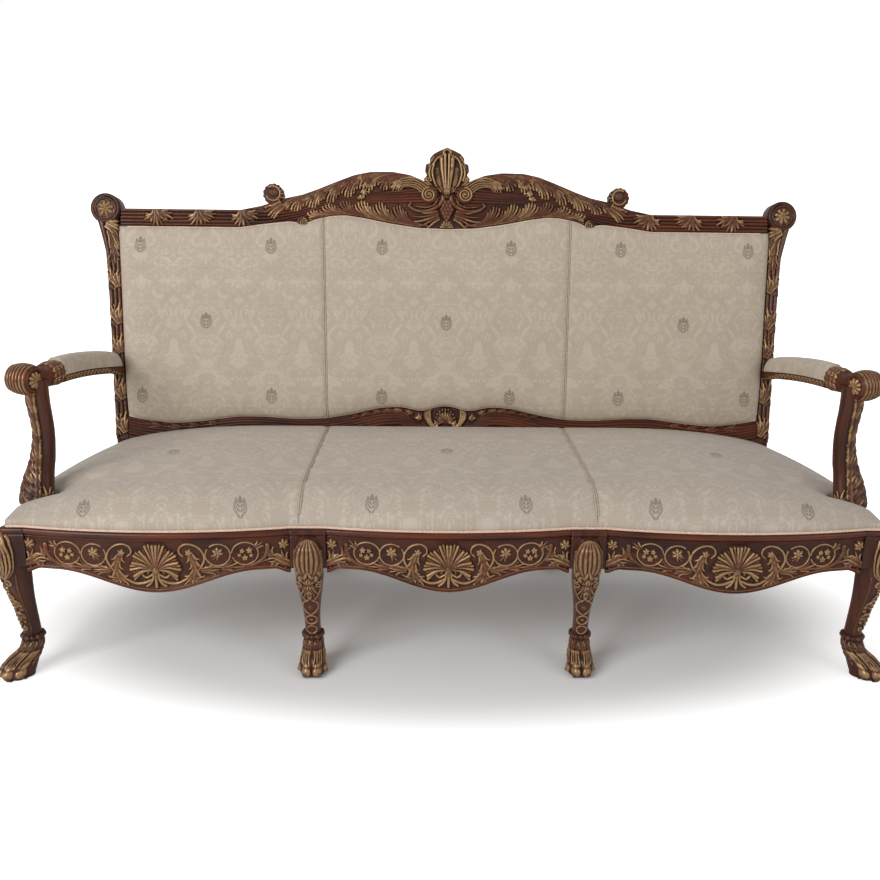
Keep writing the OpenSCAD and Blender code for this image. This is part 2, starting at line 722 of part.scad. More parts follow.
module seat_cross_rail(side) {
  y0 = block_d + fit;
  y1 = rear_rail_y - rear_leg_front - fit;
  color("peru")
    place() twin(side) {
       box([inner_leg_x - rail_t / 2, y0, rail_low_z],
          [inner_leg_x + rail_t / 2, y1, rail_top_z - cross_rail_drop]);
      cross_tenon(y0, -1, 0);
      cross_tenon(y1, 1, 0);
    }
}

// Corner blocks glued and screwed inside the four corners of the seat frame
corner_z0 = rail_low_z + corner_low;
corner_z1 = rail_top_z - corner_drop;
rear_corner_x = side_edge_x(seat_d - fit, -side_rail_t) - fit;
module corner_blocks() {
  color("burlywood")
    place()
      for (way = [-1, 1])
        twin(way) {
          difference() {
            translate([0, 0, corner_z0])
              linear_extrude(corner_z1 - corner_z0)
                polygon([[rail_out_x - fit, rail_t + fit], [rail_out_x - corner_size, rail_t + fit],
                  [rail_out_x - fit, corner_block + corner_size]]);
            corner_screws_at_front(1, fit);
          }
          difference() {
            translate([0, 0, corner_z0])
              linear_extrude(corner_z1 - corner_z0)
                polygon([[rear_corner_x, rear_rail_y - fit], [rear_corner_x - corner_size, rear_rail_y - fit],
                  [rear_corner_x, rear_rail_y - corner_size]]);
            corner_screws_at_rear(1, fit);
          }
        }
}
screw_y_front = rail_t + corner_size * screw_deep_share;
module screw(gap) {
  bore = gap > 0 ? screw_bore : 0;
  cylinder(r = screw_r + gap, h = screw_l + gap, $fn = small_round);
  translate([0, 0, -screw_head_h - bore])
    cylinder(r = screw_head_r + gap, h = screw_head_h + bore + gap, $fn = small_round);
}
module corner_screws_at_front(way, gap) {
  for (z = [corner_z0 + tenon_edge, corner_z1 - tenon_edge])
    translate([way * (rail_out_x - corner_size * screw_side_share), screw_y_front, z])
      rotate([square_turn, 0, 0])
        screw(gap);
}
module corner_screws_at_rear(way, gap) {
  for (z = [corner_z0 + tenon_edge, corner_z1 - tenon_edge])
    translate([way * (rear_corner_x - corner_size * screw_side_share),
      rear_rail_y - corner_size * screw_deep_share, z])
      rotate([-square_turn, 0, 0])
        screw(gap);
}
module block_screws() {
  color("dimgray")
    place()
      for (way = [-1, 1])
        twin(way) {
          corner_screws_at_front(1, 0);
          corner_screws_at_rear(1, 0);
        }
}

// Stile outlines across the sofa, by height
function slope_z(s) = rake_foot_z + s * cos(rake);
function stile_outer(t) = rear_half + stile_splay * lookup(t, stile_out_shares);
function stile_inner(t) = back_half + stile_splay * lookup(t, stile_in_shares);
function inner_at(s) = stile_inner(max(0, s) / slope_scroll);
head_in_x = scroll_x - scroll_r;
head_low_s = slope_low;
stile_steps = 14;
stile_side = concat(
  [for (k = [0 : curve_steps / 2]) let (t = 2 * k / curve_steps) [seat_d + sweep_at(t), rail_low_z * t]],
  [[seat_d, rake_foot_z], [seat_d + slope_scroll * sin(rake), scroll_z]],
  [[seat_d + slope_scroll * sin(rake) + stile_t / cos(rake), scroll_z],
    [seat_d + stile_t / cos(rake), rake_foot_z]],
  [for (k = [curve_steps / 2 : -1 : 0]) let (t = 2 * k / curve_steps)
    [seat_d + blend(rear_foot_t, stile_t / cos(rake), ease(t)) + sweep_at(t), rail_low_z * t]]);
stile_front = concat(
  [[rear_half - rear_foot_w, 0], [rear_half, 0]],
  [for (k = [0 : stile_steps]) let (t = k / stile_steps) [stile_outer(t), slope_z(t * slope_scroll)]],
  [[head_in_x, scroll_z], [head_in_x, slope_z(head_low_s)]],
  [for (k = [stile_steps : -1 : 0]) let (t = k / stile_steps * head_low_s / slope_scroll)
    [stile_inner(t), slope_z(t * slope_scroll)]],
  [[back_half, rail_low_z]]);
function lip_points(side_x, s0, s1) =
  [for (k = [0 : stile_steps]) let (h = blend(s0, s1, k / stile_steps)) [inner_at(h) + side_x, h]];
stile_lip_s0 = max(low_wave(back_half), low_wave(back_half - lip_w)) + lip_w + fit;
stile_lip_s1 = slope_low - lip_w - fit;

module back_stile(side) {
  color("saddlebrown")
    place() twin(side)
      difference() {
        union() {
          intersection() {
            upright_plate(stile_front, 0, seat_d * 2);
            side_plate(stile_side, 0, wide);
          }
          on_back() {
            upright_plate(concat(lip_points(overrun, stile_lip_s0, stile_lip_s1),
              reversed(lip_points(-lip_w, stile_lip_s0, stile_lip_s1))), lip_y, top_rail_t);
            stile_head();
            stile_reeding();
          }
        }
        back_tenon(fit);
        rear_tenon(fit);
        on_back() {
          low_tenon(fit);
          top_tenon(fit);
        }
        arm_back_dowel(dowel_gap);
      }
}

// Round scroll at the head of a stile
module stile_head() {
  translate([scroll_x, stile_t, slope_scroll])
    rotate([square_turn, 0, 0]) {
      cylinder(r = scroll_r, h = stile_t + scroll_proud, $fn = round_sides);
      translate([0, 0, stile_t + scroll_proud])
        rotate_extrude($fn = round_sides)
          translate([scroll_r * scroll_ring_share, 0])
            circle(r = scroll_r * scroll_wire_share, $fn = small_round);
      cylinder(r1 = scroll_r * scroll_eye_share, r2 = scroll_r * scroll_eye_share / 2,
        h = stile_t + scroll_proud * 2, $fn = round_sides);
    }
}

module stile_reeding() {
  top = slope_scroll - scroll_r;
  for (k = [0 : stile_reeds - 1]) {
    d = (k - (stile_reeds - 1) / 2) * reed_pitch;
    x0 = (inner_at(reed_foot) + stile_outer(reed_foot / slope_scroll)) / 2 + d;
    x1 = (inner_at(top) + stile_outer(top / slope_scroll)) / 2 + d;
    translate([x0, reed_sink, reed_foot])
      rotate([0, atan((x1 - x0) / (top - reed_foot)), 0])
        cylinder(r = reed_r, h = norm([x1 - x0, top - reed_foot]), $fn = small_round);
  }
}

// Tenons of the back's rails, in the back's own frame
module low_tenon(gap) {
  y = (low_rail_t - tenon_t) / 2;
  tenon_box([back_half - overrun, y, low_rail_foot + tenon_edge / 2],
    [back_half + tenon_l, y + tenon_t, low_rail_edge - tenon_edge / 2], gap);
}
module top_tenon(gap) {
  y = (top_rail_t - tenon_t) / 2;
  tenon_box([head_in_x - overrun, y, slope_low + tenon_edge],
    [head_in_x + tenon_l, y + tenon_t, slope_top - tenon_edge], gap);
}

// Top rail with its crest, ears and small scrolls
function crest_up(x) = slope_top + crest_rise * lookup(abs(x) / ear_x, top_lobe_shares);
function crest_low(x) = slope_low + crest_lift * soft_lookup(x / ear_x, top_low_shares);
function low_wave(x) = low_rail_edge + lower_wave * soft_lookup(x / back_half, low_wave_shares);
top_half = head_in_x - fit;
crest_steps = 120;
function edge_columns(w, half) = let (
    middle = [for (k = [1 : back_columns - 1]) back_plan(0, pad_u(k, back_columns), w)[0]],
    outer = [for (k = [0 : back_columns])
      let (x = back_plan(1, pad_u(k, back_columns), w)[0]) if (x < half) x])
  concat([-half], [for (x = reversed(outer)) -x], middle, outer, [half]);
function span_points(half, steps) = [for (k = [0 : steps]) (2 * k / steps - 1) * half];

module top_rail() {
  xs = edge_columns(1, top_half);
  color("sienna")
    place() on_back()
      difference() {
        union() {
          upright_plate(concat([for (x = xs) [x, crest_low(x)]],
            [for (x = reversed(span_points(top_half, crest_steps))) [x, crest_up(x)]]), 0, top_rail_t);
          upright_plate(concat([for (x = xs) [x, crest_low(x) - lip_w]],
            [for (x = reversed(xs)) [x, crest_low(x) + overrun]]),
            lip_y, top_rail_t);
          for (way = [-1, 1]) {
            disc_at(way * ear_x, slope_top + ear_z, ear_r);
            disc_at(way * crest_scroll_x, slope_top + crest_scroll_z, crest_scroll_r);
            for (k = [0 : top_reeds - 1])
              translate([way > 0 ? top_reed_x : -top_half, reed_sink,
                slope_low + top_rail_h * (k + 1 / 2) / top_reeds])
                rotate([0, square_turn, 0])
                  cylinder(r = top_reed_r, h = top_half - top_reed_x, $fn = small_round);
            scale([way, 1, 1])
              top_tenon(0);
          }
          shell_pendant();
        }
        palm_peg(dowel_gap);
        for (way = [-1, 1])
          scale([way, 1, 1])
            upright_tenon_top(fit);
      }
}
module disc_at(x, s, r) {
  translate([x, top_rail_t - disc_back, s])
    rotate([square_turn, 0, 0]) {
      cylinder(r = r, h = top_rail_t - disc_back + disc_proud, $fn = round_sides);
      cylinder(r = r * scroll_eye_share, h = top_rail_t - disc_back + disc_proud * 2, $fn = small_round);
    }
}
module shell_pendant() {
  translate([0, -disc_proud, slope_top - pendant_drop])
    rotate([0, half_turn, 0])
      scale([pendant_share, 1, pendant_share])
        shell();
}

// Palmette standing on the middle of the crest
palm_s0 = crest_up(0) + fit;
palm_y0 = (top_rail_t - palm_t) / 2;

// The foremost toe and the hindmost point of the back set the middle of the plan
rear_most = max(on_back_point(0, palm_y0 + palm_t, palm_s0 + palmette_h)[1],
  on_back_point(0, top_rail_t, slope_top + crest_rise)[1],
  on_back_point(0, stile_t, slope_scroll + scroll_r)[1]);
y_mid = (front_most + rear_most) / 2;

function palm_points(rows) =
  let (right = [for (p = rows) [p[0] * palmette_half_w, palm_s0 + p[1] * palmette_h]])
  concat(right, [for (p = reversed(right)) if (p[0] > 0) [-p[0], p[1]]]);
module palm_peg(gap) {
  translate([0, palm_y0 + palm_t / 2, palm_s0 - dowel_l / 2])
    cylinder(r = dowel_r + gap, h = dowel_l / 2 + overrun, $fn = small_round);
}
module crest_palmette() {
  color("peru")
    place() on_back() {
      difference() {
        union() {
          upright_plate(palm_points(palm_shares), palm_y0, palm_y0 + palm_t);
          upright_plate(palm_points(bud_shares), palm_y0 - bud_proud, palm_y0 + palm_t / 2);
        }
        for (way = [-1, 1])
          upright_plate([for (p = hollow_shares) [way * p[0] * palmette_half_w, palm_s0 + p[1] * palmette_h]],
            -palm_t, palm_y0 + palm_hollow);
      }
      upright_plate([[-palmette_half_w * rib_half_share, palm_s0 + palmette_h * bud_shares[0][1]],
        [palmette_half_w * rib_half_share, palm_s0 + palmette_h * bud_shares[0][1]],
        [0, palm_s0 + palmette_h * bud_shares[4][1]]], palm_y0 - bud_proud - rib_proud, palm_y0);
      palm_peg(0);
    }
}

// Lower back rail
module lower_back_rail() {
  half = back_half - fit;
  xs = edge_columns(0, half);
  color("sienna")
    place() on_back()
      difference() {
        union() {
          upright_plate(concat([[half, low_rail_foot], [-half, low_rail_foot]],
            [for (x = xs) [x, low_wave(x)]]), 0, low_rail_t);
          upright_plate(concat([[half, low_rail_edge / 2], [-half, low_rail_edge / 2]],
            [for (x = xs) [x, low_wave(x) + lip_w]]), lip_y, low_rail_t);
          for (way = [-1, 1])
            scale([way, 1, 1])
              low_tenon(0);
        }
        for (way = [-1, 1])
          scale([way, 1, 1])
            upright_tenon_low(fit);
      }
}

// Uprights hidden between the covers, behind the seams
upright_x0 = seam_x - seam_close / 2 - upright_w / 2;
upright_x1 = upright_x0 + upright_w;
upright_s0 = max(low_wave(upright_x0), low_wave(upright_x1)) + lip_w + fit;
upright_s1 = min(crest_low(upright_x0), crest_low(upright_x1)) - lip_w - fit;
module upright_tenon_low(gap) {
  tenon_box([upright_x0 + tenon_t, upright_y + upright_t / 4, upright_s0 - tenon_l],
    [upright_x1 - tenon_t, upright_y + upright_t - upright_t / 4, upright_s0 + overrun], gap);
}
module upright_tenon_top(gap) {
  tenon_box([upright_x0 + tenon_t, upright_y + upright_t / 4, upright_s1 - overrun],
    [upright_x1 - tenon_t, upright_y + upright_t - upright_t / 4, upright_s1 + tenon_l], gap);
}
module back_upright(side) {
  color("peru")
    place() on_back() twin(side) {
      box([upright_x0, upright_y, upright_s0], [upright_x1, upright_y + upright_t, upright_s1]);
      upright_tenon_low(0);
      upright_tenon_top(0);
    }
}

// Arms run from the stiles to the scrolls; t goes from 0 at the stile to 1 in the scroll
arm_s = (arm_back_z - rake_foot_z) / cos(rake);
arm_start = on_back_point(arm_join_x, sink_front - fit, arm_s);
function arm_x(t) = t < collar_share
  ? blend(arm_start[0], arm_collar_x, t / collar_share) + arm_bow * sin(half_turn * t / collar_share)
  : blend(arm_collar_x, arm_scroll_x - arm_scroll_w * arm_end_share, (t - collar_share) / (1 - collar_share));
function arm_width_share(t) = blend(arm_root_share, 1, ease(t / arm_root_reach_share));
function arm_y(t) = blend(arm_start[1], arm_scroll_y, t);
function arm_mid_z(t) = blend(arm_back_z, arm_z - arm_end_drop, t) + arm_arch * sin(half_turn * t);
function arm_ring(t, w, h, lift, e) =
  let (c = [arm_x(t), arm_y(t), arm_mid_z(t) + lift],
    across = t == 0 ? [1, 0, 0] : [cos(arm_skew * t), sin(arm_skew * t), 0],
    up = t == 0 ? [0, sin(rake), cos(rake)] : [0, 0, 1])
  [for (k = [0 : arm_sides - 1]) let (a = full_turn * k / arm_sides)
    c + across * w / 2 * rounded(cos(a), e) + up * h / 2 * rounded(sin(a), e)];

module arm_scroll() {
  half = arm_scroll_w / 2;
  reed = arm_scroll_w / arm_reeds;
  flute = [for (k = [0 : arm_reeds * flute_points]) let (t = k / (arm_reeds * flute_points))
    [arm_scroll_r - arm_reed_h + arm_reed_h * abs(sin(half_turn * t * arm_reeds)), blend(-half, half, t)]];
  translate([arm_scroll_x, arm_scroll_y, arm_z])
    rotate([0, 0, arm_turn])
      rotate([0, square_turn, 0])
        rotate_extrude($fn = round_sides)
          polygon(concat([[0, -half - daisy_h], [daisy_r, -half - daisy_h], [daisy_r + daisy_h, -half]],
            flute,
            [[0, half]]));
}

module arm(side) {
  color("sienna")
    place() twin(side)
      difference() {
        union() {
          loft(concat(
            [for (k = [0 : arm_steps]) let (t = k / arm_steps * collar_share * arm_body_share)
              arm_ring(t, arm_w * arm_width_share(t), arm_t, 0, arm_square)],
            [arm_ring(collar_share * collar_start_share, collar_w, collar_h, collar_lift, arm_square / 2),
             arm_ring(collar_share * collar_end_share, collar_w, collar_h, collar_lift, arm_square / 2),
             arm_ring(1, arm_w * arm_root_share, arm_t, 0, arm_square / 2)]));
          arm_scroll();
          translate([post_top_x, post_top_y, post_top_z])
            cylinder(r = post_cap_r, h = arm_z - post_top_z, $fn = round_sides);
        }
        arm_post_dowel(dowel_gap);
        arm_back_dowel(dowel_gap);
      }
}

// Posts stand on the side rails and carry the arm scrolls
function post_ring(row) =
  [for (k = [0 : arm_sides - 1]) let (a = full_turn * k / arm_sides)
    [blend(post_foot_x, post_top_x, row[3]) + post_w / 2 * row[1] * rounded(cos(a), post_square),
     blend(post_foot_y, post_top_y, row[0]) + post_sway * row[4]
        + post_d / 2 * row[2] * rounded(sin(a), post_square),
     blend(rail_top_z + fit, post_top_z - fit, row[0])]];
module arm_post(side) {
  color("sienna")
    place() twin(side)
      difference() {
        union() {
          loft([for (row = post_shares) post_ring(row)]);
          intersection() {
            post_tenon(0);
            box([0, 0, rail_top_z - tenon_l], [wide, seat_d, rail_top_z + overrun]);
          }
        }
        arm_post_dowel(dowel_gap);
      }
}

module arm_post_dowel(gap) {
  translate([post_top_x, post_top_y, post_top_z - dowel_l / 2 - gap])
    cylinder(r = dowel_r + gap, h = dowel_l + 2 * gap, $fn = small_round);
}
module arm_back_dowel(gap) {
  on_back()
    translate([arm_join_x, -dowel_l / 2 - gap, arm_s])
      rotate([-square_turn, 0, 0])
        cylinder(r = dowel_r + gap, h = dowel_l + 2 * gap, $fn = small_round);
}
module arm_dowels() {
  color("burlywood")
    place()
      for (way = [-1, 1])
        twin(way) {
          arm_post_dowel(0);
          arm_back_dowel(0);
        }
}

// Webbing: two crossing layers of strips
module seat_webbing() {
  across = floor((seat_d - 2 * web_w) / web_step);
  along = floor((back_half - web_w) / web_step);
  color("tan")
    place() {
      for (k = [0 : across]) {
        y = web_w + web_step * k;
        half = side_edge_x(y + web_w / 2, -side_rail_t) + web_grip;
        if (abs(y - post_foot_y) > (web_w + post_d) / 2)
          box([-half, y - web_w / 2, rail_top_z], [half, y + web_w / 2, rail_top_z + web_t]);
      }
      for (k = [-along : along])
        box([k * web_step - web_w / 2, rail_t / 2, rail_top_z + web_t],
          [k * web_step + web_w / 2, rear_rail_y + rear_rail_t / 2, rail_top_z + 2 * web_t]);
    }
}
module back_webbing() {
  y = lip_y - web_t;
  rows = floor((slope_low - low_rail_edge - lower_wave - web_w) / back_web_step);
  along = floor((back_half - web_w) / web_step);
  color("tan")
    place() on_back() {
      for (k = [0 : rows]) {
        s = low_rail_edge + lower_wave + back_web_rise + back_web_step * k;
        half = inner_at(s - web_w / 2) - fit;
        box([-half, y, s - web_w / 2], [half, y + web_t, s + web_w / 2]);
      }
      for (k = [-along : along]) {
        x0 = k * web_step - web_w / 2;
        x1 = x0 + web_w;
        xm = (x0 + x1) / 2;
        s0 = max(low_wave(x0), low_wave(xm), low_wave(x1)) + fit;
        s1 = min(crest_low(x0), crest_low(xm), crest_low(x1)) - fit;
        box([x0, y - web_t, s0], [x1, y, s1]);
      }
    }
}

// Pads: a grid of points for the crowned face over a flat grid, closed round the edge
module grid_solid(face, base) {
  rows = len(face);
  columns = len(face[0]);
  size = rows * columns;
  points = concat([for (row = face) each row], [for (row = base) each row]);
  cells = [for (i = [0 : rows - 2]) for (j = [0 : columns - 2]) i * columns + j];
  up = [for (c = cells) each [[c, c + columns, c + columns + 1], [c, c + columns + 1, c + 1]]];
  down = [for (c = cells) let (a = c + size, b = c + columns + size) each [[a, b + 1, b], [a, a + 1, b + 1]]];
  edge = concat([for (j = [0 : columns - 2]) [j, j + 1]],
    [for (i = [0 : rows - 2]) [i * columns + columns - 1, (i + 1) * columns + columns - 1]],
    [for (j = [columns - 1 : -1 : 1]) [(rows - 1) * columns + j, (rows - 1) * columns + j - 1]],
    [for (i = [rows - 1 : -1 : 1]) [i * columns, (i - 1) * columns]]);
  walls = [for (e = edge) each [[e[0], e[1], e[1] + size], [e[0], e[1] + size, e[0] + size]]];
  polyhedron(points, concat(up, down, walls));
}
function swell(d, reach, power) = let (t = min(1, max(0, d / reach))) pow(1 - pow(1 - t, 2), power);
function quarter(d, reach) = swell(d, reach, 1 / 2);

// Seat pads
function front_line(x) =
  abs(x) < middle_half ? bow_depth(x, middle_half, middle_bow)
  : abs(x) > rail_in_x && abs(x) < rail_out_x ? bow_depth(abs(x) - outer_mid, outer_half, outer_bow) : 0;
pad_back_y = seat_d + low_rail_foot * sin(rake) - fit;
function seam_at(v) = seam_x - seam_close * v;
function side_at(y) = side_edge_x(y, -pad_over)
  - post_dent * ease((post_dent_reach - abs(y - post_foot_y)) / post_dent_ease);
function seat_plan(side, u, v) =
  let (y_near = blend(0, pad_back_y, v),
    x0 = side == 0 ? -seam_at(v) + pad_gap : seam_at(v) + pad_gap,
    x1 = side == 0 ? seam_at(v) - pad_gap : side_at(y_near),
    x = blend(x0, x1, u))
  [x, blend(front_line(x) + pad_front, pad_back_y, v)];
function seat_top(side, p, v) =
  let (front = swell(p[1] - front_line(p[0]) - pad_front, front_roll, soft_share),
    d_seam = min(abs(abs(p[0]) - seam_at(v)), seam_reach) / seam_reach,
    out = side == 0 ? 1 : swell(side_at(p[1]) - p[0], side_roll, soft_share),
    crown = blend(seat_crown, back_crown_share * seat_crown, v * v))
  webbing_top + crown * (pad_side_h_share + (1 - pad_side_h_share) * front * out)
    - seam_dip * pow(1 - d_seam, 2);
module seat_pad(side) {
  grid = [for (v = pad_v_shares)
    [for (k = [0 : seat_columns]) concat(seat_plan(side, pad_u(k, seat_columns), v), v)]];
  face = [for (row = grid) [for (p = row) [p[0], p[1], seat_top(side, p, p[2])]]];
  base = [for (row = grid) [for (p = row) [p[0], p[1], webbing_top]]];
  color("antiquewhite")
    place() twin(side < 0 ? -1 : 1)
      grid_solid(face, base);
}

// Back pads
back_pad_y = lip_y - 2 * web_t - fit;
function back_plan(side, u, w) =
  let (s_near = blend(low_rail_edge, slope_low, w),
    seam = seam_at(blend(seam_low_share, seam_top_share, w)),
    x0 = side == 0 ? -seam + pad_gap : seam + pad_gap,
    x1 = side == 0 ? seam - pad_gap : inner_at(s_near - lip_w) - fit,
    x = blend(x0, x1, u))
  [x, blend(low_wave(x) + fit, crest_low(x) - fit, w), seam];
function back_face(side, p, w) =
  let (d_low = p[1] - low_wave(p[0]), d_top = crest_low(p[0]) - p[1],
    d_seam = min(abs(abs(p[0]) - p[2]), seam_reach) / seam_reach,
    out = side == 0 ? 1 : quarter(inner_at(p[1]) - abs(p[0]), back_roll))
  -back_edge - back_swell * quarter(d_low, back_roll) * quarter(d_top, back_roll) * out
  + seam_dip * pow(1 - d_seam, 2);
module back_pad(side) {
  grid = [for (w = pad_w_shares)
    [for (k = [0 : back_columns]) concat(back_plan(side, pad_u(k, back_columns), w), w)]];
  face = [for (row = grid) [for (p = row) [p[0], back_face(side, p, p[3]), p[1]]]];
  base = [for (row = grid) [for (p = row) [p[0], back_pad_y, p[1]]]];
  color("antiquewhite")
    place() on_back() twin(side < 0 ? -1 : 1)
      grid_solid(face, base);
}

// Arm pads: rings that stand on the arm and close over it at both ends
module arm_pad(side) {
  color("antiquewhite")
    place() twin(side)
      loft([for (row = arm_pad_rows_shares) let (t = row[0] * collar_share)
        let (c = [arm_x(t), arm_y(t), arm_mid_z(t) + arm_t / 2 + fit],
          across = [cos(arm_skew * t), sin(arm_skew * t), 0])
        [for (k = [0 : pad_arc]) let (a = half_turn * k / pad_arc)
          c + across * arm_pad_w / 2 * row[1] * rounded(cos(a), arm_pad_square)
            + [0, 0, arm_pad_h * row[2] * rounded(sin(a), arm_pad_square)]]]);
}

// Panel across the outside of the back
module outside_back() {
  s0 = low_rail_foot;
  s1 = slope_low + tenon_edge;
  color("antiquewhite")
    place() on_back()
      upright_plate(concat(lip_points(-panel_gap, s0, s1),
        [for (p = reversed(lip_points(-panel_gap, s0, s1))) [-p[0], p[1]]]),
        top_rail_t, top_rail_t + panel_t);
}

front_leg_outer(-1);  // front_leg_outer_left
front_leg_outer(1);  // front_leg_outer_right
front_leg_inner(-1);  // front_leg_inner_left
front_leg_inner(1);  // front_leg_inner_right
rear_leg_inner(-1);  // rear_leg_inner_left
rear_leg_inner(1);  // rear_leg_inner_right
back_stile(-1);  // back_stile_left
back_stile(1);  // back_stile_right
front_rail_side(-1);  // front_rail_left
front_rail_middle();
front_rail_side(1);  // front_rail_right
side_rail(-1);  // side_rail_left
side_rail(1);  // side_rail_right
rear_rail();
seat_cross_rail(-1);  // seat_cross_rail_left
seat_cross_rail(1);  // seat_cross_rail_right
corner_blocks();
block_screws();
top_rail();
crest_palmette();
lower_back_rail();
back_upright(-1);  // back_upright_left
back_upright(1);  // back_upright_right
arm(-1);  // arm_left
arm(1);  // arm_right
arm_post(-1);  // arm_post_left
arm_post(1);  // arm_post_right
arm_dowels();
seat_webbing();
back_webbing();
seat_pad(-1);  // seat_pad_left
seat_pad(0);  // seat_pad_middle
seat_pad(1);  // seat_pad_right
back_pad(-1);  // back_pad_left
back_pad(0);  // back_pad_middle
back_pad(1);  // back_pad_right
arm_pad(-1);  // arm_pad_left
arm_pad(1);  // arm_pad_right
outside_back();
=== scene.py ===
# %% [markdown]
# # A carved three-seat cabriole sofa
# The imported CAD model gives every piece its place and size. This lesson dresses it: carved wood with
# worn gold on its high parts, and cream figured fabric over soft pads. All lengths in the text of the
# cells are in millimetres and are turned into metres when a mesh is made.

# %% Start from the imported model
import math
import bpy
import numpy as np
from mathutils import Matrix, Vector


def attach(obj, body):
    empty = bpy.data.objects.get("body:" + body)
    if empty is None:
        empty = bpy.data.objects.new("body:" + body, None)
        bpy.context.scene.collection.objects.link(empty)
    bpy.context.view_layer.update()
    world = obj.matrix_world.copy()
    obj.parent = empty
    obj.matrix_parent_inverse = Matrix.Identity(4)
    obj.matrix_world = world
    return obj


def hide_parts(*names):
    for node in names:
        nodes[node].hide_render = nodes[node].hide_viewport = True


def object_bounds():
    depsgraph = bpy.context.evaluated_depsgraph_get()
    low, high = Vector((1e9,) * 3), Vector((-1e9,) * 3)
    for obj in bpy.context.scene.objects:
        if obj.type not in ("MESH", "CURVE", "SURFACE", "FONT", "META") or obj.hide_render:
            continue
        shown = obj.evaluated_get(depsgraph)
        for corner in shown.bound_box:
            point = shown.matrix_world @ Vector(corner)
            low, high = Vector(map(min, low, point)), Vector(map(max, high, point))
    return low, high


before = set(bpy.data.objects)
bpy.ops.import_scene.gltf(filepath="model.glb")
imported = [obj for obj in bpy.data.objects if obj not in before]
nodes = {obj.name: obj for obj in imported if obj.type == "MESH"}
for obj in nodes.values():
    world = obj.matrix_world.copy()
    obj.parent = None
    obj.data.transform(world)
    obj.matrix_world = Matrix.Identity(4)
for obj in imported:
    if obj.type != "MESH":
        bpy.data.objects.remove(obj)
cad_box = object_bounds()
print("nodes in the model:", len(nodes))

# %% [markdown]
# The drawing of the sofa starts at the front edge of the seat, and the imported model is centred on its
# own plan. One number joins the two, so that every later cell can use the drawing's own measures.

# %% Main measures
FRONT_MOST = -36.0
Y_MID = FRONT_MOST - cad_box[0][1] * 1000
RAIL_TOP, RAIL_LOW = 388.0, 292.0
SEAT_DEPTH = 590.0
RAKE, RAKE_FOOT = math.radians(13.3), 423.0
SLOPE_SCROLL = (1036.0 - RAKE_FOOT) / math.cos(RAKE)
SLOPE_TOP = SLOPE_SCROLL + 1
SLOPE_LOW = SLOPE_TOP - 48
SCROLL_X, SCROLL_R = 939.0, 41.0
print("middle of the plan behind the seat's front edge: %.1f mm" % Y_MID)


def ease(t):
    return (1 - np.cos(np.pi * np.clip(t, 0, 1))) / 2


def mix(a, b, t):
    return a + (b - a) * t


def back_point(x, y, s):
    """A point in the leaning frame of the back: across, into the back and up the slope."""
    c, n = math.cos(RAKE), math.sin(RAKE)
    return np.stack([x + 0 * y, SEAT_DEPTH + y * c + s * n, RAKE_FOOT - y * n + s * c], axis=-1)


# %% [markdown]
# Carved pieces are made as fine grids of points, about one millimetre apart. A grid keeps the rows
# and columns of the carving, so the shape, the gilding and the dirt in the hollows can all be worked
# out from the same numbers. The helper below turns one or more grids into a mesh, stores the gold and
# the hollows as point attributes and lays each grid in its own part of a texture map.

# %% Grid meshes
def looks_outward(p, wrap, out=None):
    """True when the grid's own winding faces away from the piece."""
    q = np.roll(np.roll(p, -1, 0), -1, 1) - p
    r = np.roll(p, -1, 1) - np.roll(p, -1, 0)
    n = np.cross(q, r)[:-1, :] if wrap[1] or not wrap[0] else np.cross(q, r)[:, :-1]
    at = p[:-1] if wrap[1] or not wrap[0] else p[:, :-1]
    if not (wrap[0] or wrap[1]):
        n, at = n[:, :-1], at[:, :-1]
    away = np.array(out) if out is not None else at - at.mean(axis=1 if wrap[1] else 0, keepdims=True)
    return float((n * away).sum()) > 0


def grid_faces(nu, nv, wrap, start, flip):
    i = np.arange(nu if wrap[0] else nu - 1)
    j = np.arange(nv if wrap[1] else nv - 1)
    i, j = np.meshgrid(i, j, indexing="ij")
    i2, j2 = (i + 1) % nu, (j + 1) % nv
    quad = np.stack([i * nv + j, i2 * nv + j, i2 * nv + j2, i * nv + j2], axis=-1).reshape(-1, 4)
    cu, cv = nu if wrap[0] else nu - 1, nv if wrap[1] else nv - 1
    corners = ((0, 0), (1, 0), (1, 1), (0, 1))
    uv = np.stack([np.stack([(i + a) / cu, (j + b) / cv], axis=-1) for a, b in corners], axis=-2)
    uv = uv.reshape(-1, 4, 2)
    if flip:
        quad, uv = quad[:, ::-1], uv[:, ::-1]
    return quad + start, uv


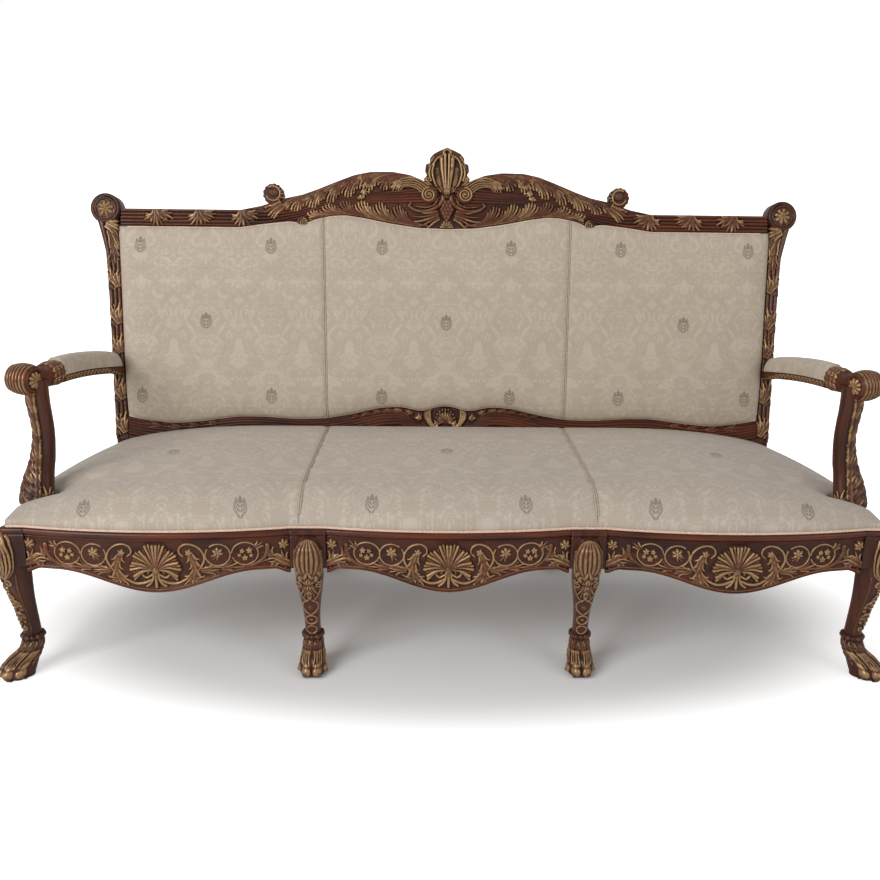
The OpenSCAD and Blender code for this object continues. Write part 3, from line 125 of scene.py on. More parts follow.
def make_mesh(name, grids, material, replaces=(), mirror=False):
    """One piece from grids of points in millimetres, with its gold, hollows and place of the cloth."""
    way = np.array([-1.0 if mirror else 1.0, 1.0, 1.0])
    total = float(sum(g["p"][..., 0].size for g in grids))
    points, quads, uvs, gild, hollow, cloth = [], [], [], [], [], []
    left, start = 0.0, 0
    for g in grids:
        nu, nv = g["p"].shape[:2]
        wrap = g.get("wrap", (False, False))
        p = g["p"] * way
        out = g["out"] * way if "out" in g else None
        quad, uv = grid_faces(nu, nv, wrap, start, not looks_outward(p, wrap, out))
        share = nu * nv / total
        uv[..., 0] = left + share * (0.01 + 0.98 * uv[..., 0])
        left += share
        start += nu * nv
        points.append(p.reshape(-1, 3))
        quads.append(quad)
        uvs.append(uv.reshape(-1, 2))
        gild.append(np.broadcast_to(g.get("gild", 0.0), (nu, nv)).ravel())
        hollow.append(np.broadcast_to(g.get("hollow", 0.0), (nu, nv)).ravel())
        cloth.append(g.get("cloth", np.zeros((nu, nv, 2))).reshape(-1, 2))
    points, quads = np.concatenate(points), np.concatenate(quads)
    points[:, 1] -= Y_MID
    points /= 1000.0
    mesh = bpy.data.meshes.new(name)
    mesh.vertices.add(len(points))
    mesh.vertices.foreach_set("co", points.ravel())
    mesh.loops.add(len(quads) * 4)
    mesh.loops.foreach_set("vertex_index", quads.ravel())
    mesh.polygons.add(len(quads))
    mesh.polygons.foreach_set("loop_start", np.arange(len(quads)) * 4)
    mesh.uv_layers.new(name="OFBake").data.foreach_set("uv", np.concatenate(uvs).ravel())
    for label, values in (("gild", gild), ("hollow", hollow)):
        mesh.attributes.new(label, "FLOAT", "POINT").data.foreach_set("value", np.concatenate(values))
    cloth = np.concatenate(cloth)
    if cloth.any():
        flat = np.pad(cloth, ((0, 0), (0, 1)))
        mesh.attributes.new("cloth", "FLOAT_VECTOR", "POINT").data.foreach_set("vector", flat.ravel())
    mesh.materials.append(material)
    mesh.update(calc_edges=True)
    mesh.validate()
    mesh.polygons.foreach_set("use_smooth", np.ones(len(mesh.polygons), bool))
    piece = bpy.data.objects.new(name, mesh)
    bpy.context.collection.objects.link(piece)
    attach(piece, "root")
    if replaces:
        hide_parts(*replaces)
    return piece


SIDES = (("right", False), ("left", True))


def twins(name, grids, material, node):
    """The right piece, and the left one as its mirror twin."""
    for side, mirror in SIDES:
        made = make_mesh(name + "_" + side, grids, material, (node + "_" + side,), mirror)
    print(name, "x 2:", len(made.data.polygons), "faces each")


# %% [markdown]
# A carver cuts a pattern into a flat panel before it is bent in the mind round the piece. The same is
# done here: a pattern is a height over two flat measures. The class keeps the height and how much gold
# each cut keeps. Each tool of the carver is one method: a rounded strand, a leaf, a flower, a fan of
# ribs and a dome.

# %% The carver's tools
def trace(u, v, line):
    """For each point: how far along a line it is, as a share, and how far beside it."""
    a, d = line[:-1], np.diff(line, axis=0)
    length = np.maximum(np.hypot(d[:, 0], d[:, 1]), 1e-6)
    run = np.concatenate([[0], np.cumsum(length)])
    best, t = np.full(u.shape, 1e9), np.zeros(u.shape)
    for k in range(len(a)):
        x, y = u - a[k, 0], v - a[k, 1]
        w = np.clip((x * d[k, 0] + y * d[k, 1]) / length[k] ** 2, 0, 1)
        dist = np.hypot(x - w * d[k, 0], y - w * d[k, 1])
        t = np.where(dist < best, run[k] + w * length[k], t)
        best = np.minimum(dist, best)
    return t / run[-1], best


def bent(*points, steps=8):
    """A smooth line through points."""
    p = np.array(points, float)
    p = np.concatenate([[2 * p[0] - p[1]], p, [2 * p[-1] - p[-2]]])
    t = np.linspace(0, 1, steps, endpoint=False)[:, None]
    out = [0.5 * (2 * b + (c - a) * t + (2 * a - 5 * b + 4 * c - d) * t ** 2
                  + (3 * b - a - 3 * c + d) * t ** 3)
           for a, b, c, d in zip(p[:-3], p[1:-2], p[2:-1], p[3:])]
    return np.concatenate(out + [p[-2:-1]])


def curl(cx, cy, r0, r1, a0, a1, steps=None):
    """A spiral from radius r0 at angle a0 to radius r1 at angle a1, in degrees."""
    steps = steps or max(8, int(abs(a1 - a0) / 14))
    t = np.linspace(0, 1, steps)
    a = np.radians(mix(a0, a1, t))
    r = mix(r0, r1, t)
    return np.stack([cx + r * np.cos(a), cy + r * np.sin(a)], axis=1)


def blur(h, k):
    for axis in (0, 1):
        n = h.shape[axis]
        pad = [(k + 1, k) if i == axis else (0, 0) for i in (0, 1)]
        c = np.cumsum(np.pad(h, pad, mode="edge"), axis=axis)
        h = (np.take(c, range(2 * k + 1, 2 * k + 1 + n), axis) - np.take(c, range(n), axis)) / (2 * k + 1)
    return h


class Carving:
    def __init__(self, u, v):
        self.u, self.v = u, v
        self.h = np.zeros(u.shape)
        self.g = np.zeros(u.shape)

    def near(self, low, high):
        """The points inside a box; a tool works on those alone."""
        return np.nonzero((self.u > low[0]) & (self.u < high[0]) & (self.v > low[1]) & (self.v < high[1]))

    def about(self, cx, cy, rx, ry):
        at = self.near((cx - rx, cy - ry), (cx + rx, cy + ry))
        return at, self.u[at] - cx, self.v[at] - cy

    def lift(self, at, h, gold):
        """Keeps the higher of the old carving and the new, with the gold of the one that is kept."""
        old = self.h[at]
        self.g[at] = np.where(h > old + 1e-6, gold, self.g[at])
        self.h[at] = np.maximum(old, h)

    def strand(self, line, r0, r1=None, high=1.0, gold=0.5, base=0.0, belly=0.0):
        """A rounded strand along a line, from radius r0 to r1 and fuller in its middle by belly."""
        r1 = r0 if r1 is None else r1
        reach = max(r0, r1) * (1 + belly)
        at = self.near(line.min(0) - reach, line.max(0) + reach)
        t, d = trace(self.u[at], self.v[at], line)
        r = mix(r0, r1, t) * (1 + belly * np.sin(np.pi * t))
        h = high * np.sqrt(np.clip(r ** 2 - d ** 2, 0, None)) + base * (d < r)
        self.lift(at, h, gold * (0.65 + 0.35 * t) if belly else gold)

    def spray(self, way, root, aim, length, spread, count=5, r=3.8, gold=0.85, base=3.0, wide=0.0, hook=0.0):
        """A leaf of strands that start together, spread like fingers and bend over at their tips."""
        root = np.array(root, float)
        for k in range(count):
            q = k / (count - 1) - 0.5
            uneven = math.sin(13.7 * k + 3.1 * root[0] + 1.7 * root[1])
            long = length * (1 - 1.1 * q * q) * (1 + 0.13 * uneven)
            way_out = aim + spread * q + 6 * uneven
            turn = np.radians([aim + spread * q * 0.4, way_out, way_out + (hook or 50 * q)])
            p = root + wide * q * np.array([-math.sin(math.radians(aim)), math.cos(math.radians(aim))])
            line = [p]
            for a, share in zip(turn, (0.42, 0.34, 0.24)):
                line.append(line[-1] + long * share * np.array([math.cos(a), math.sin(a)]))
            line = bent(*line, steps=4) * [way, 1]
            shade = (1.0, 0.65, 0.9, 0.55)[k % 4]
            self.strand(line, r * 0.75, r * 0.4, 1.1, gold * shade, base + 0.5 * (k % 3), 0.55)

    def feather(self, way, edge, places, run, reach, r, golds=(0.6, 0.95, 0.8), base=3.0):
        """Slender fingers side by side: each follows an edge for a while and then peels away from it."""
        peel = ((-1, 0.06), (-0.45, 0.12), (0.05, 0.34), (0.3, 0.68), (0.36, 1))
        for k, (a, deep) in enumerate(zip(places, reach)):
            q = (k % 6) / 2.5 - 1
            deep = deep * (1.06 - 0.34 * q * q)
            line = [(a + run * b, float(edge(a + run * b)) + deep * d) for b, d in peel]
            gold = golds[(k // 6) % len(golds)] * (1, 0.75)[k % 2]
            self.strand(bent(*line, steps=4) * [way, 1], r * 0.6, r * 0.5, 1.15, gold,
                        base + 0.3 * (k % 3), 0.5)

    def leaf(self, line, w, lobes=5, high=5.0, gold=0.9, full=0.62, base=0.0):
        """A leaf along a line, up to w wide on each side, with lobes and a spine."""
        at = self.near(line.min(0) - w * 1.2, line.max(0) + w * 1.2)
        t, d = trace(self.u[at], self.v[at], line)
        body = np.sin(np.pi * np.clip(t, 0, 1) ** 0.75) ** 0.7
        wide = w * body * (full + (1 - full) * np.abs(np.sin(np.pi * (t * lobes + 0.15))) ** 0.7)
        s = d / np.maximum(wide, 1e-3)
        inside = s < 1
        rib = np.abs(np.sin(np.pi * (t * lobes - 0.75 * d / w + 0.15))) ** 0.6
        spine = np.clip(1 - d / (0.13 * w + 0.6), 0, 1)
        h = high * np.sqrt(np.clip(1 - s ** 2, 0, 1)) * (0.42 + 0.58 * rib) * (0.6 + 0.4 * body)
        h = h * (1 - 0.35 * spine) + base
        self.lift(at, np.where(inside, h, 0), gold * (0.35 + 0.65 * rib))

    def flower(self, cx, cy, r, petals=6, high=4.0, gold=0.9, turn=0.0, base=0.0):
        at, x, y = self.about(cx, cy, r, r)
        rho, a = np.hypot(x, y), np.arctan2(y, x) + turn
        lobe = np.abs(np.cos(petals * a / 2)) ** 0.6
        edge = r * (0.62 + 0.38 * lobe)
        q = np.clip(rho / edge, 0, 1)
        h = high * (np.sin(np.pi * q ** 0.8) ** 0.7) * (0.45 + 0.55 * lobe) + base
        eye = np.clip(1 - (rho / (0.27 * r)) ** 2, 0, 1)
        h = np.where(rho < edge, np.maximum(h, high * 1.05 * np.sqrt(eye) + base * (eye > 0)), 0)
        self.lift(at, h, gold)

    def fan(self, cx, cy, rx, ry, ribs, high, a0=-12.0, a1=192.0, gold=0.95, hub=0.13):
        """Ribs that spread like a fan between two angles."""
        reach = max(rx, ry) * 1.1
        at, x, y = self.about(cx, cy, reach, reach)
        a = np.degrees(np.arctan2(y, x))
        a = np.where(a < -90, a + 360, a)
        q = (a - a0) / (a1 - a0) * ribs
        k = np.floor(q)
        c = q - k - 0.5
        mid = np.radians(a0 + (k + 0.5) / ribs * (a1 - a0))
        edge = 1 / np.sqrt((np.cos(mid) / rx) ** 2 + (np.sin(mid) / ry) ** 2)
        edge = edge * (0.86 + 0.14 * np.cos(np.pi * c)) * (1 - 0.05 * (k % 2))
        rho = np.hypot(x, y)
        s = rho / edge
        rise = np.clip((s - hub) / (1 - hub), 0, 1)
        ridge = np.cos(np.pi * c) ** 0.8
        ridge = ridge * (1 - 0.45 * np.exp(-(c / 0.09) ** 2) * np.clip(rise * 2 - 0.3, 0, 1))
        h = high * (0.35 + 0.65 * np.sin(np.pi * np.clip(rise, 0, 1) ** 0.9 * 0.86)) * (0.35 + 0.65 * ridge)
        inside = (s < 1) & (q > 0) & (q < ribs)
        self.lift(at, np.where(inside, h, 0), gold * (0.3 + 0.7 * ridge))

    def dome(self, cx, cy, rx, ry, high, ribs=0, gold=0.8, lift=0.0, power=0.5):
        at, x, y = self.about(cx, cy, rx, ry)
        x, y = x / rx, y / ry
        s = x ** 2 + y ** 2
        h = high * np.clip(1 - s, 0, 1) ** power
        g = np.full(h.shape, gold)
        if ribs:
            w = x / np.sqrt(np.clip(1 - y ** 2, 0.02, 1))
            cut = np.abs(np.sin(np.pi * ribs * (w + 1) / 2)) ** 0.6
            h, g = h * (0.72 + 0.28 * cut), g * (0.25 + 0.75 * cut)
        self.lift(at, np.where(s < 1, h + lift, 0), g)

    def shades(self, k=4, deep=1.5):
        """Gold where the carving stands up, and dirt where it goes down."""
        low = blur(self.h, k)
        rise = np.clip((self.h - low) / deep, -1, 1)
        gold = np.clip(self.g * (0.72 + 0.55 * rise), 0, 1)
        return blur(gold, 1), 0.75 * np.clip(-rise, 0, 1)


def face_normals(p):
    n = np.cross(np.gradient(p, axis=0), np.gradient(p, axis=1))
    return n / np.maximum(np.linalg.norm(n, axis=-1, keepdims=True), 1e-9)


print("carver's tools ready")
# %% [markdown]
# ## Finishes
# The show wood is mahogany, rubbed and waxed, with old gold left on the carving. Two effects are
# shared, so each is a node group: the grain, for every wood on the sofa, and the worn gold, for all
# the show wood. The gold reads the two point attributes that the carver's class stored.

# %% Node helpers
def new_group(name, inputs, outputs):
    g = bpy.data.node_groups.new(name, "ShaderNodeTree")
    for label, kind, value in inputs:
        s = g.interface.new_socket(label, in_out="INPUT", socket_type="NodeSocket" + kind)
        if value is not None:
            s.default_value = value
    for label, kind in outputs:
        g.interface.new_socket(label, in_out="OUTPUT", socket_type="NodeSocket" + kind)
    g_in, g_out = g.nodes.new("NodeGroupInput"), g.nodes.new("NodeGroupOutput")
    return g, Nodes(g), g_in.outputs, g_out.inputs


class Nodes:
    """Short calls for the nodes that the finishes use."""

    def __init__(self, tree):
        self.tree, self.link = tree, tree.links.new

    def put(self, socket, value):
        if isinstance(value, bpy.types.NodeSocket):
            self.link(value, socket)
        else:
            socket.default_value = value

    def add(self, kind, **inputs):
        n = self.tree.nodes.new(kind)
        for label, value in inputs.items():
            self.put(n.inputs[label.replace("_", " ")], value)
        return n

    def math(self, how, a, b=None, clamp=False):
        n = self.tree.nodes.new("ShaderNodeMath")
        n.operation, n.use_clamp = how, clamp
        self.put(n.inputs[0], a)
        if b is not None:
            self.put(n.inputs[1], b)
        return n.outputs[0]

    def plus(self, a, b):
        return self.math("ADD", a, b)

    def minus(self, a, b):
        return self.math("SUBTRACT", a, b)

    def times(self, a, b):
        return self.math("MULTIPLY", a, b)

    def most(self, a, b):
        return self.math("MAXIMUM", a, b)

    def mix(self, share, a, b):
        """A colour between a and b. Sockets 6 and 7 are the colours of this node."""
        n = self.tree.nodes.new("ShaderNodeMix")
        n.data_type = "RGBA"
        for socket, value in ((0, share), (6, a), (7, b)):
            self.put(n.inputs[socket], value)
        return n.outputs[2]

    def ramp(self, value, low, high):
        n = self.add("ShaderNodeMapRange", Value=value, From_Min=low, From_Max=high)
        n.interpolation_type = "SMOOTHSTEP"
        return n.outputs[0]

    def where(self):
        return self.tree.nodes.new("ShaderNodeTexCoord").outputs["Object"]

    def noise(self, where, scale, detail=3.0, rough=0.55, distort=0.0):
        return self.add("ShaderNodeTexNoise", Vector=where, Scale=scale, Detail=detail, Roughness=rough,
                        Distortion=distort).outputs["Fac"]

    def attribute(self, name):
        n = self.tree.nodes.new("ShaderNodeAttribute")
        n.attribute_name = name
        return n.outputs

    def group(self, tree, **inputs):
        n = self.tree.nodes.new("ShaderNodeGroup")
        n.node_tree = tree
        for label, value in inputs.items():
            self.put(n.inputs[label], value)
        return n.outputs

    def stretched(self, where, scale):
        return self.add("ShaderNodeMapping", Vector=where, Scale=scale).outputs[0]

    def bump(self, strength, distance, height):
        return self.add("ShaderNodeBump", Strength=strength, Distance=distance, Height=height).outputs[0]


def new_material(name, **inputs):
    m = bpy.data.materials.new(name)
    m.use_nodes = True
    n = Nodes(m.node_tree)
    shader = m.node_tree.nodes["Principled BSDF"]

    def finish(**values):
        for label, value in values.items():
            n.put(shader.inputs[label.replace("_", " ")], value)
        return m
    finish(**inputs)
    return n, finish


def rgb(*seen):
    """A colour as seen on a screen, 0 to 255, turned into the numbers that a shader wants."""
    part = [c / 255 for c in seen]
    return tuple(c / 12.92 if c <= 0.04045 else ((c + 0.055) / 1.055) ** 2.4 for c in part) + (1,)


# %% Shared effect: wood grain
grain, n, given, result = new_group("wood grain", [
    ("Along", "Vector", (1, 1, 1)), ("Dark", "Color", rgb(70, 34, 24)),
    ("Light", "Color", rgb(122, 66, 45))], [("Color", "Color"), ("Pores", "Float")])
where = n.where()
fibres = n.tree.nodes.new("ShaderNodeVectorMath")
fibres.operation = "MULTIPLY"
n.put(fibres.inputs[0], where)
n.put(fibres.inputs[1], given["Along"])
figure = n.noise(fibres.outputs[0], 9.0, 4.0, 0.6, 1.2)
pores = n.noise(fibres.outputs[0], 160.0, 2.0, 0.7)
share = n.plus(n.times(figure, 0.75), n.times(n.noise(where, 5.0, 2.0), 0.35))
colour = n.mix(n.ramp(share, 0.32, 0.78), given["Dark"], given["Light"])
n.put(result["Color"], n.mix(n.times(n.ramp(pores, 0.56, 0.7), 0.45), colour, given["Dark"]))
n.put(result["Pores"], pores)
print("grain group:", len(grain.nodes), "nodes")

# %% Shared effect: worn gold and dark hollows
gilding, n, given, result = new_group("worn gold", [
    ("Wood", "Color", (0.1, 0.04, 0.02, 1)), ("Gold", "Color", rgb(160, 127, 89)),
    ("Old gold", "Color", rgb(116, 83, 54))],
    [("Color", "Color"), ("Mask", "Float"), ("Hollow", "Float")])
kept, hollow = n.attribute("gild")["Fac"], n.attribute("hollow")["Fac"]
where = n.where()
worn = n.noise(where, 120.0, 4.0, 0.65)
big = n.ramp(n.noise(where, 30.0, 3.0, 0.6), 0.2, 0.55)
mask = n.ramp(n.times(kept, n.plus(n.times(worn, 0.9), n.times(big, 0.6))), 0.14, 0.72)
bright = n.ramp(n.times(kept, n.plus(worn, 0.42)), 0.3, 0.85)
colour = n.mix(mask, given["Wood"], n.mix(bright, given["Old gold"], given["Gold"]))
dirt = n.times(n.ramp(hollow, 0.05, 0.8), 0.85)
n.put(result["Color"], n.mix(dirt, colour, rgb(32, 16, 11)))
n.put(result["Mask"], mask)
n.put(result["Hollow"], hollow)
print("gold group:", len(gilding.nodes), "nodes")


# %% [markdown]
# The show wood uses both groups. Its grain runs along the sofa in the rails and the arms, upright in
# the legs, the posts and the stiles, and from front to back in the side rails.

# %% Show wood
def show_wood(name, along, dark, light):
    n, finish = new_material(name, Coat_Roughness=0.2, Specular_IOR_Level=0.24)
    wood = n.group(grain, Along=along, Dark=dark, Light=light)
    carved = n.group(gilding, Wood=wood["Color"])
    rough = n.plus(n.times(wood["Pores"], 0.16), n.times(carved["Hollow"], 0.3))
    clean = n.math("SUBTRACT", 1.0, carved["Hollow"], clamp=True)
    return finish(Base_Color=carved["Color"], Metallic=n.times(carved["Mask"], 0.38),
                  Roughness=n.plus(rough, 0.24), Coat_Weight=n.times(clean, 0.14),
                  Normal=n.bump(0.12, 0.0006, wood["Pores"]))


wood_along = show_wood("mahogany along", (0.25, 3.0, 3.0), rgb(42, 17, 9), rgb(104, 49, 25))
wood_up = show_wood("mahogany upright", (3.0, 3.0, 0.3), rgb(37, 15, 8), rgb(86, 40, 21))
print("show woods made")
# %% [markdown]
# ## Front rails
# Each front rail is one bowed board: a rounded moulding under the fabric, a sunk field with a carved
# shell, scrolls and vine rings, and a scalloped lower edge with a double bead. A closed section with
# many points on its carved face is carried along the bow.

# %% The apron's pattern
def apron_low(u):
    """The scalloped lower edge: u runs from -1 to 1 along the rail."""
    return RAIL_LOW - 50 * ease(1 - np.abs(u) / 0.76) - 12 * ease((np.abs(u) - 0.88) / 0.12)


def bow_depth(x, half, bow):
    """How far back the rail's face lies at x, from 0 at its ends to -bow in its middle."""
    r = (half ** 2 + bow ** 2) / (2 * bow)
    return r - np.sqrt(np.maximum(r ** 2 - x ** 2, 0)) - bow


def apron_pattern(c, half, k):
    """The carving on both halves; k squeezes it to the rail's own length."""
    def drop(x):
        return 291 - 14 * (x / RAIL_HALF) ** 2
    for w in (-1, 1):
        def at(*pts):
            return bent(*[(w * k * x, drop(x) + z) for x, z in pts])

        def ring(x, z, r, wide, start, sweep, thick):
            line = curl(0, 0, r, r * 0.97, start, start + sweep)
            line[:, 0] = w * (k * x + line[:, 0] * wide)
            line[:, 1] += drop(x) + z
            c.strand(line, thick, thick, 1.15, 0.95, 0.8)
        c.strand(at((8, -16), (26, -25), (48, -26), (71, -14), (96, 6), (110, 31), (106, 52), (91, 66),
                    (71, 70), (57, 62), (54, 49), (63, 40)), 3.9, 2.2, 1.1, 0.75, 1.2)
        c.strand(at((10, -6), (22, -12), (31, -4), (27, 6), (17, 4), (18, -2)), 3.2, 2.0, 1.15, 0.8, 2)
        c.flower(w * k * 76, drop(76) + 49, 9.5, 5, 6, 0.95, base=1)
        for x, z, aim, long in ((80, 44, -72, 30), (87, 28, -78, 32), (90, 10, -98, 32), (84, -8, -135, 28)):
            c.spray(w, (k * x, drop(x) + z), aim, long, 64, 5, 3.3, 1.0, 1.5, 10)
        ring(141, 44, 27, 1.05, 150, 340, 1.9)
        ring(202, 48, 28, 1.08, 175, -335, 1.9)
        c.flower(w * k * 141, drop(141) + 50, 13, 6, 6, 1.0, 0.4, 0.8)
        c.spray(w, (k * 141, drop(141) + 44), -135, 18, 60, 3, 2.8, 0.8, 0.8, 6)
        for x, z, r in ((212, 56, 8.5), (196, 54, 7), (202, 38, 8.5), (216, 44, 6), (190, 44, 6)):
            c.flower(w * k * x, drop(x) + z, r, 5, 5, 0.95, x, 0.8)
        c.strand(at((184, 14), (214, 18), (240, 34), (251, 52), (253, 70)), 2.6, 6.0, 0.9, 0.45, 0.8)
        c.strand(at((112, 14), (150, 14), (188, 15), (226, 24), (262, 36), (302, 30)),
                 2.6, 2.2, 1.1, 0.7, 0.5)
        for x, z, aim, long, n in ((104, 6, 2, 40, 5), (82, -16, 4, 30, 4), (150, 12, 8, 38, 4),
                                   (226, 64, 40, 22, 3), (262, 38, 112, 34, 4)):
            c.spray(w, (k * x, drop(x) + z), aim, long, 46, n, 3.0, 0.9, 0.8, 8)
        end = drop(RAIL_HALF)
        c.spray(w, (k * 304, end + 24), 152, 62, 26, 4, 4.0, 1.1, 2.0, 10, 34)
        c.spray(w, (k * 292, end + 36), 112, 26, 60, 3, 3.4, 1.0, 2.0, 8)
        c.spray(w, (k * 280, end + 34), 206, 30, 40, 3, 3.0, 0.9, 1.5, 6)
        c.flower(w * (half - 13), 352, 13, 6, 8, 1.0, 0.3, 2.0)
        c.strand(curl(w * (half - 9), 286, 7, 2, 90, 90 + w * 400), 3.2, 2.2, 1.2, 0.3, 1.5)
        for j in range(14):
            q = (j % 4 + 0.5) / 2 - 1
            a, long = math.radians(86 - 7.4 * j), (64 - 0.8 * j) * (1 - 0.13 * q * q)
            tip = a - 0.22 * (1 - math.sin(a))
            rib = bent(*[(w * r * math.cos(b), 298 + rise * math.sin(b))
                         for r, rise, b in ((7, 6, a), (0.55 * long, 0.55 * long, a), (long, long, tip))])
            wide, gold, base = ((3.7, 0.95, 5.5), (3.3, 0.6, 5.0), (3.7, 0.9, 5.5), (2.6, 0.45, 3.0))[j % 4]
            c.strand(rib, 1.2, wide, 1.2, gold, base, 0.1)
        c.strand(bent((w * 5, 300), (w * 6, 280), (w * 12, 266), (w * 22, 258)), 3.8, 3.0, 1.1, 0.8, 3.0)
    c.strand(bent((0, 300), (0, 276), (0, 256)), 4.4, 3.6, 1.1, 0.7, 3.5)
    c.dome(0, 296, 9, 10, 7, 0, 0.6, 3)


# %% Front rails
RAIL_HALF, RAIL_THICK, FIELD_ROWS, FIELD_SUNK = 302.0, 36.0, 104, 1.6
NOSE_R, NOSE_FOOT = 8.2, 18.5
MIDDLE_HALF, MIDDLE_BOW, OUTER_BOW = 283.0, 25.0, 30.0
OUTER_START, OUTER_END = 367.0, 972.0
OUTER_HALF, OUTER_MID = (OUTER_END - OUTER_START) / 2, (OUTER_END + OUTER_START) / 2


def front_rail(half, bow):
    """One rail with its carved face, as a section of many rows that is carried along the bow."""
    inner = half - 0.3
    x = np.linspace(-inner, inner, int(inner * 2 / 1.05))
    low, top = apron_low(x / half), RAIL_TOP - 20
    z = top + (low[:, None] + 9 - top) * np.linspace(0, 1, FIELD_ROWS)
    c = Carving(np.repeat(x[:, None], FIELD_ROWS, 1), z)
    apron_pattern(c, half, inner / (RAIL_HALF + 0.2))
    c.h = np.minimum(c.h, 6 + (z - low[:, None] - 9) * 0.9)
    gold, hollow = c.shades()
    rows = []

    def add(front, height, g=0.0, h=0.0):
        rows.append(np.stack([v + 0 * x for v in (front, height, g, h)], axis=-1))
    for front in (-RAIL_THICK, -RAIL_THICK * 0.5, -8):
        add(front, RAIL_TOP)
    for a in np.radians(np.linspace(90, -90, 14)):
        add(-4 + NOSE_R * math.cos(a), RAIL_TOP - NOSE_R + NOSE_R * math.sin(a))
    add(-0.5, RAIL_TOP - NOSE_FOOT + 1, 0, 0.6)
    add(1.2, RAIL_TOP - NOSE_FOOT)
    for j in range(FIELD_ROWS):
        sunk = -FIELD_SUNK * min(j / 3, (FIELD_ROWS - 1 - j) / 3, 1)
        ground = 0.35 if 0 < j < 3 else 0.46 * (c.h[:, j] < 0.2)
        add(sunk + c.h[:, j], z[:, j], 0.95 * gold[:, j], np.maximum(hollow[:, j], ground))
    bead = np.radians(np.linspace(90, -90, 9))
    for a in bead:
        add(0.6 + 2.4 * math.cos(a), low + 6.2 + 2.4 * math.sin(a), 0.25 + 0.2 * math.cos(a))
    for a in bead:
        add(-1.2 + 3.4 * math.cos(a), low + 1.2 + 2.6 * math.sin(a), 0.12 * math.cos(a))
    add(-RAIL_THICK * 0.4, low + 1)
    add(-RAIL_THICK, low + 1)
    add(-RAIL_THICK, mix(low, RAIL_TOP, 0.5))
    front, height, gild, hollow = np.moveaxis(np.stack(rows, axis=1), -1, 0)
    y = np.where(front >= -20, bow_depth(x, half, bow)[:, None] - front, RAIL_THICK)
    p = np.stack([np.repeat(x[:, None], len(rows), 1), y, height], axis=-1)
    return {"p": p, "wrap": (False, True), "gild": gild, "hollow": hollow}


def end_caps(skin):
    """Flat ends for a section that is closed round its second direction."""
    caps = []
    for end, next_in in ((0, 1), (-1, -2)):
        ring = skin["p"][end]
        mid = ring.mean(0)
        out = mid - skin["p"][next_in].mean(0)
        caps.append({"p": np.stack([mix(ring, mid, t) for t in (0, 0.5, 0.98)]), "wrap": (False, True),
                     "out": out})
    return caps


outer = front_rail(OUTER_HALF, OUTER_BOW)
for name, mid in (("right", OUTER_MID), ("left", -OUTER_MID)):
    moved = dict(outer, p=outer["p"] + [mid, 0, 0])
    rail = make_mesh("front_apron_" + name, [moved] + end_caps(moved), wood_along,
                     ("front_rail_" + name,))
middle = front_rail(MIDDLE_HALF, MIDDLE_BOW)
make_mesh("front_apron_middle", [middle] + end_caps(middle), wood_along, ("front_rail_middle",))
print("front rails:", len(rail.data.polygons), "faces each")
# %% [markdown]
# ## Front legs
# A cabriole leg swells at the knee, draws in to an ankle and spreads into a paw. Its form is a stack of
# rounded rings. The rows below give each ring's height, half width, half depth, how far it stands
# forward in the paw and in the knee, how strongly it shows the toes, and how square it is. The carving
# is drawn on the leg as if its skin were unrolled flat from the middle of the front.

# %% The leg's form
LEG_ROWS = np.array([
    [0, 27, 42.7, .86, 0, .6, 2.2], [7, 30, 46.8, 1, 0, 1, 2.2], [19.4, 30, 47.9, 1, 0, 1, 2.2],
    [33, 29, 44.8, .92, 0, .8, 2.2], [45.8, 27, 38.5, .72, 0, .4, 2.2], [53, 24, 32.3, .45, 0, .1, 2.2],
    [59.4, 22.9, 27, .22, 0, 0, 2.2], [70.6, 21.2, 24.4, .08, 0, 0, 2.2], [83, 20.5, 23, .02, 0, 0, 2.2],
    [96.6, 19.2, 20.8, 0, 0, 0, 2.2], [116, 18.5, 20.3, 0, .05, 0, 2.3], [143.6, 18.9, 20.8, 0, .16, 0, 2.4],
    [174.6, 21.5, 22.9, 0, .34, 0, 2.5], [201.8, 24.8, 25.5, 0, .5, 0, 2.6],
    [229, 28.5, 29.1, 0, .66, 0, 2.7],
    [260, 32.2, 33.3, 0, .82, 0, 2.8], [310, 33.3, 37.4, 0, 1, 0, 2.9], [349, 31.1, 36.4, 0, 1, 0, 2.8],
    [370.5, 24.4, 28.1, 0, .9, 0, 2.6], [380, 16.3, 18.7, 0, .72, 0, 2.4]])


def power_round(v, e):
    return np.sign(v) * np.abs(v) ** (2 / e)


LEG_TALL, LEG_COLUMNS, LEG_LEVELS = 380, 232, 330
TOE_ARC, TOES = 152, 4


def table_at(table, places, blend, keep):
    """Rows of a table read at new places, and smoothed but for the first and last few."""
    r = np.stack([np.interp(places, table[:, 0], table[:, k]) for k in range(table.shape[1])], axis=1)
    for k in range(1, r.shape[1]):
        r[keep:-keep, k] = np.convolve(r[:, k], np.ones(blend) / blend, "same")[keep:-keep]
    return r


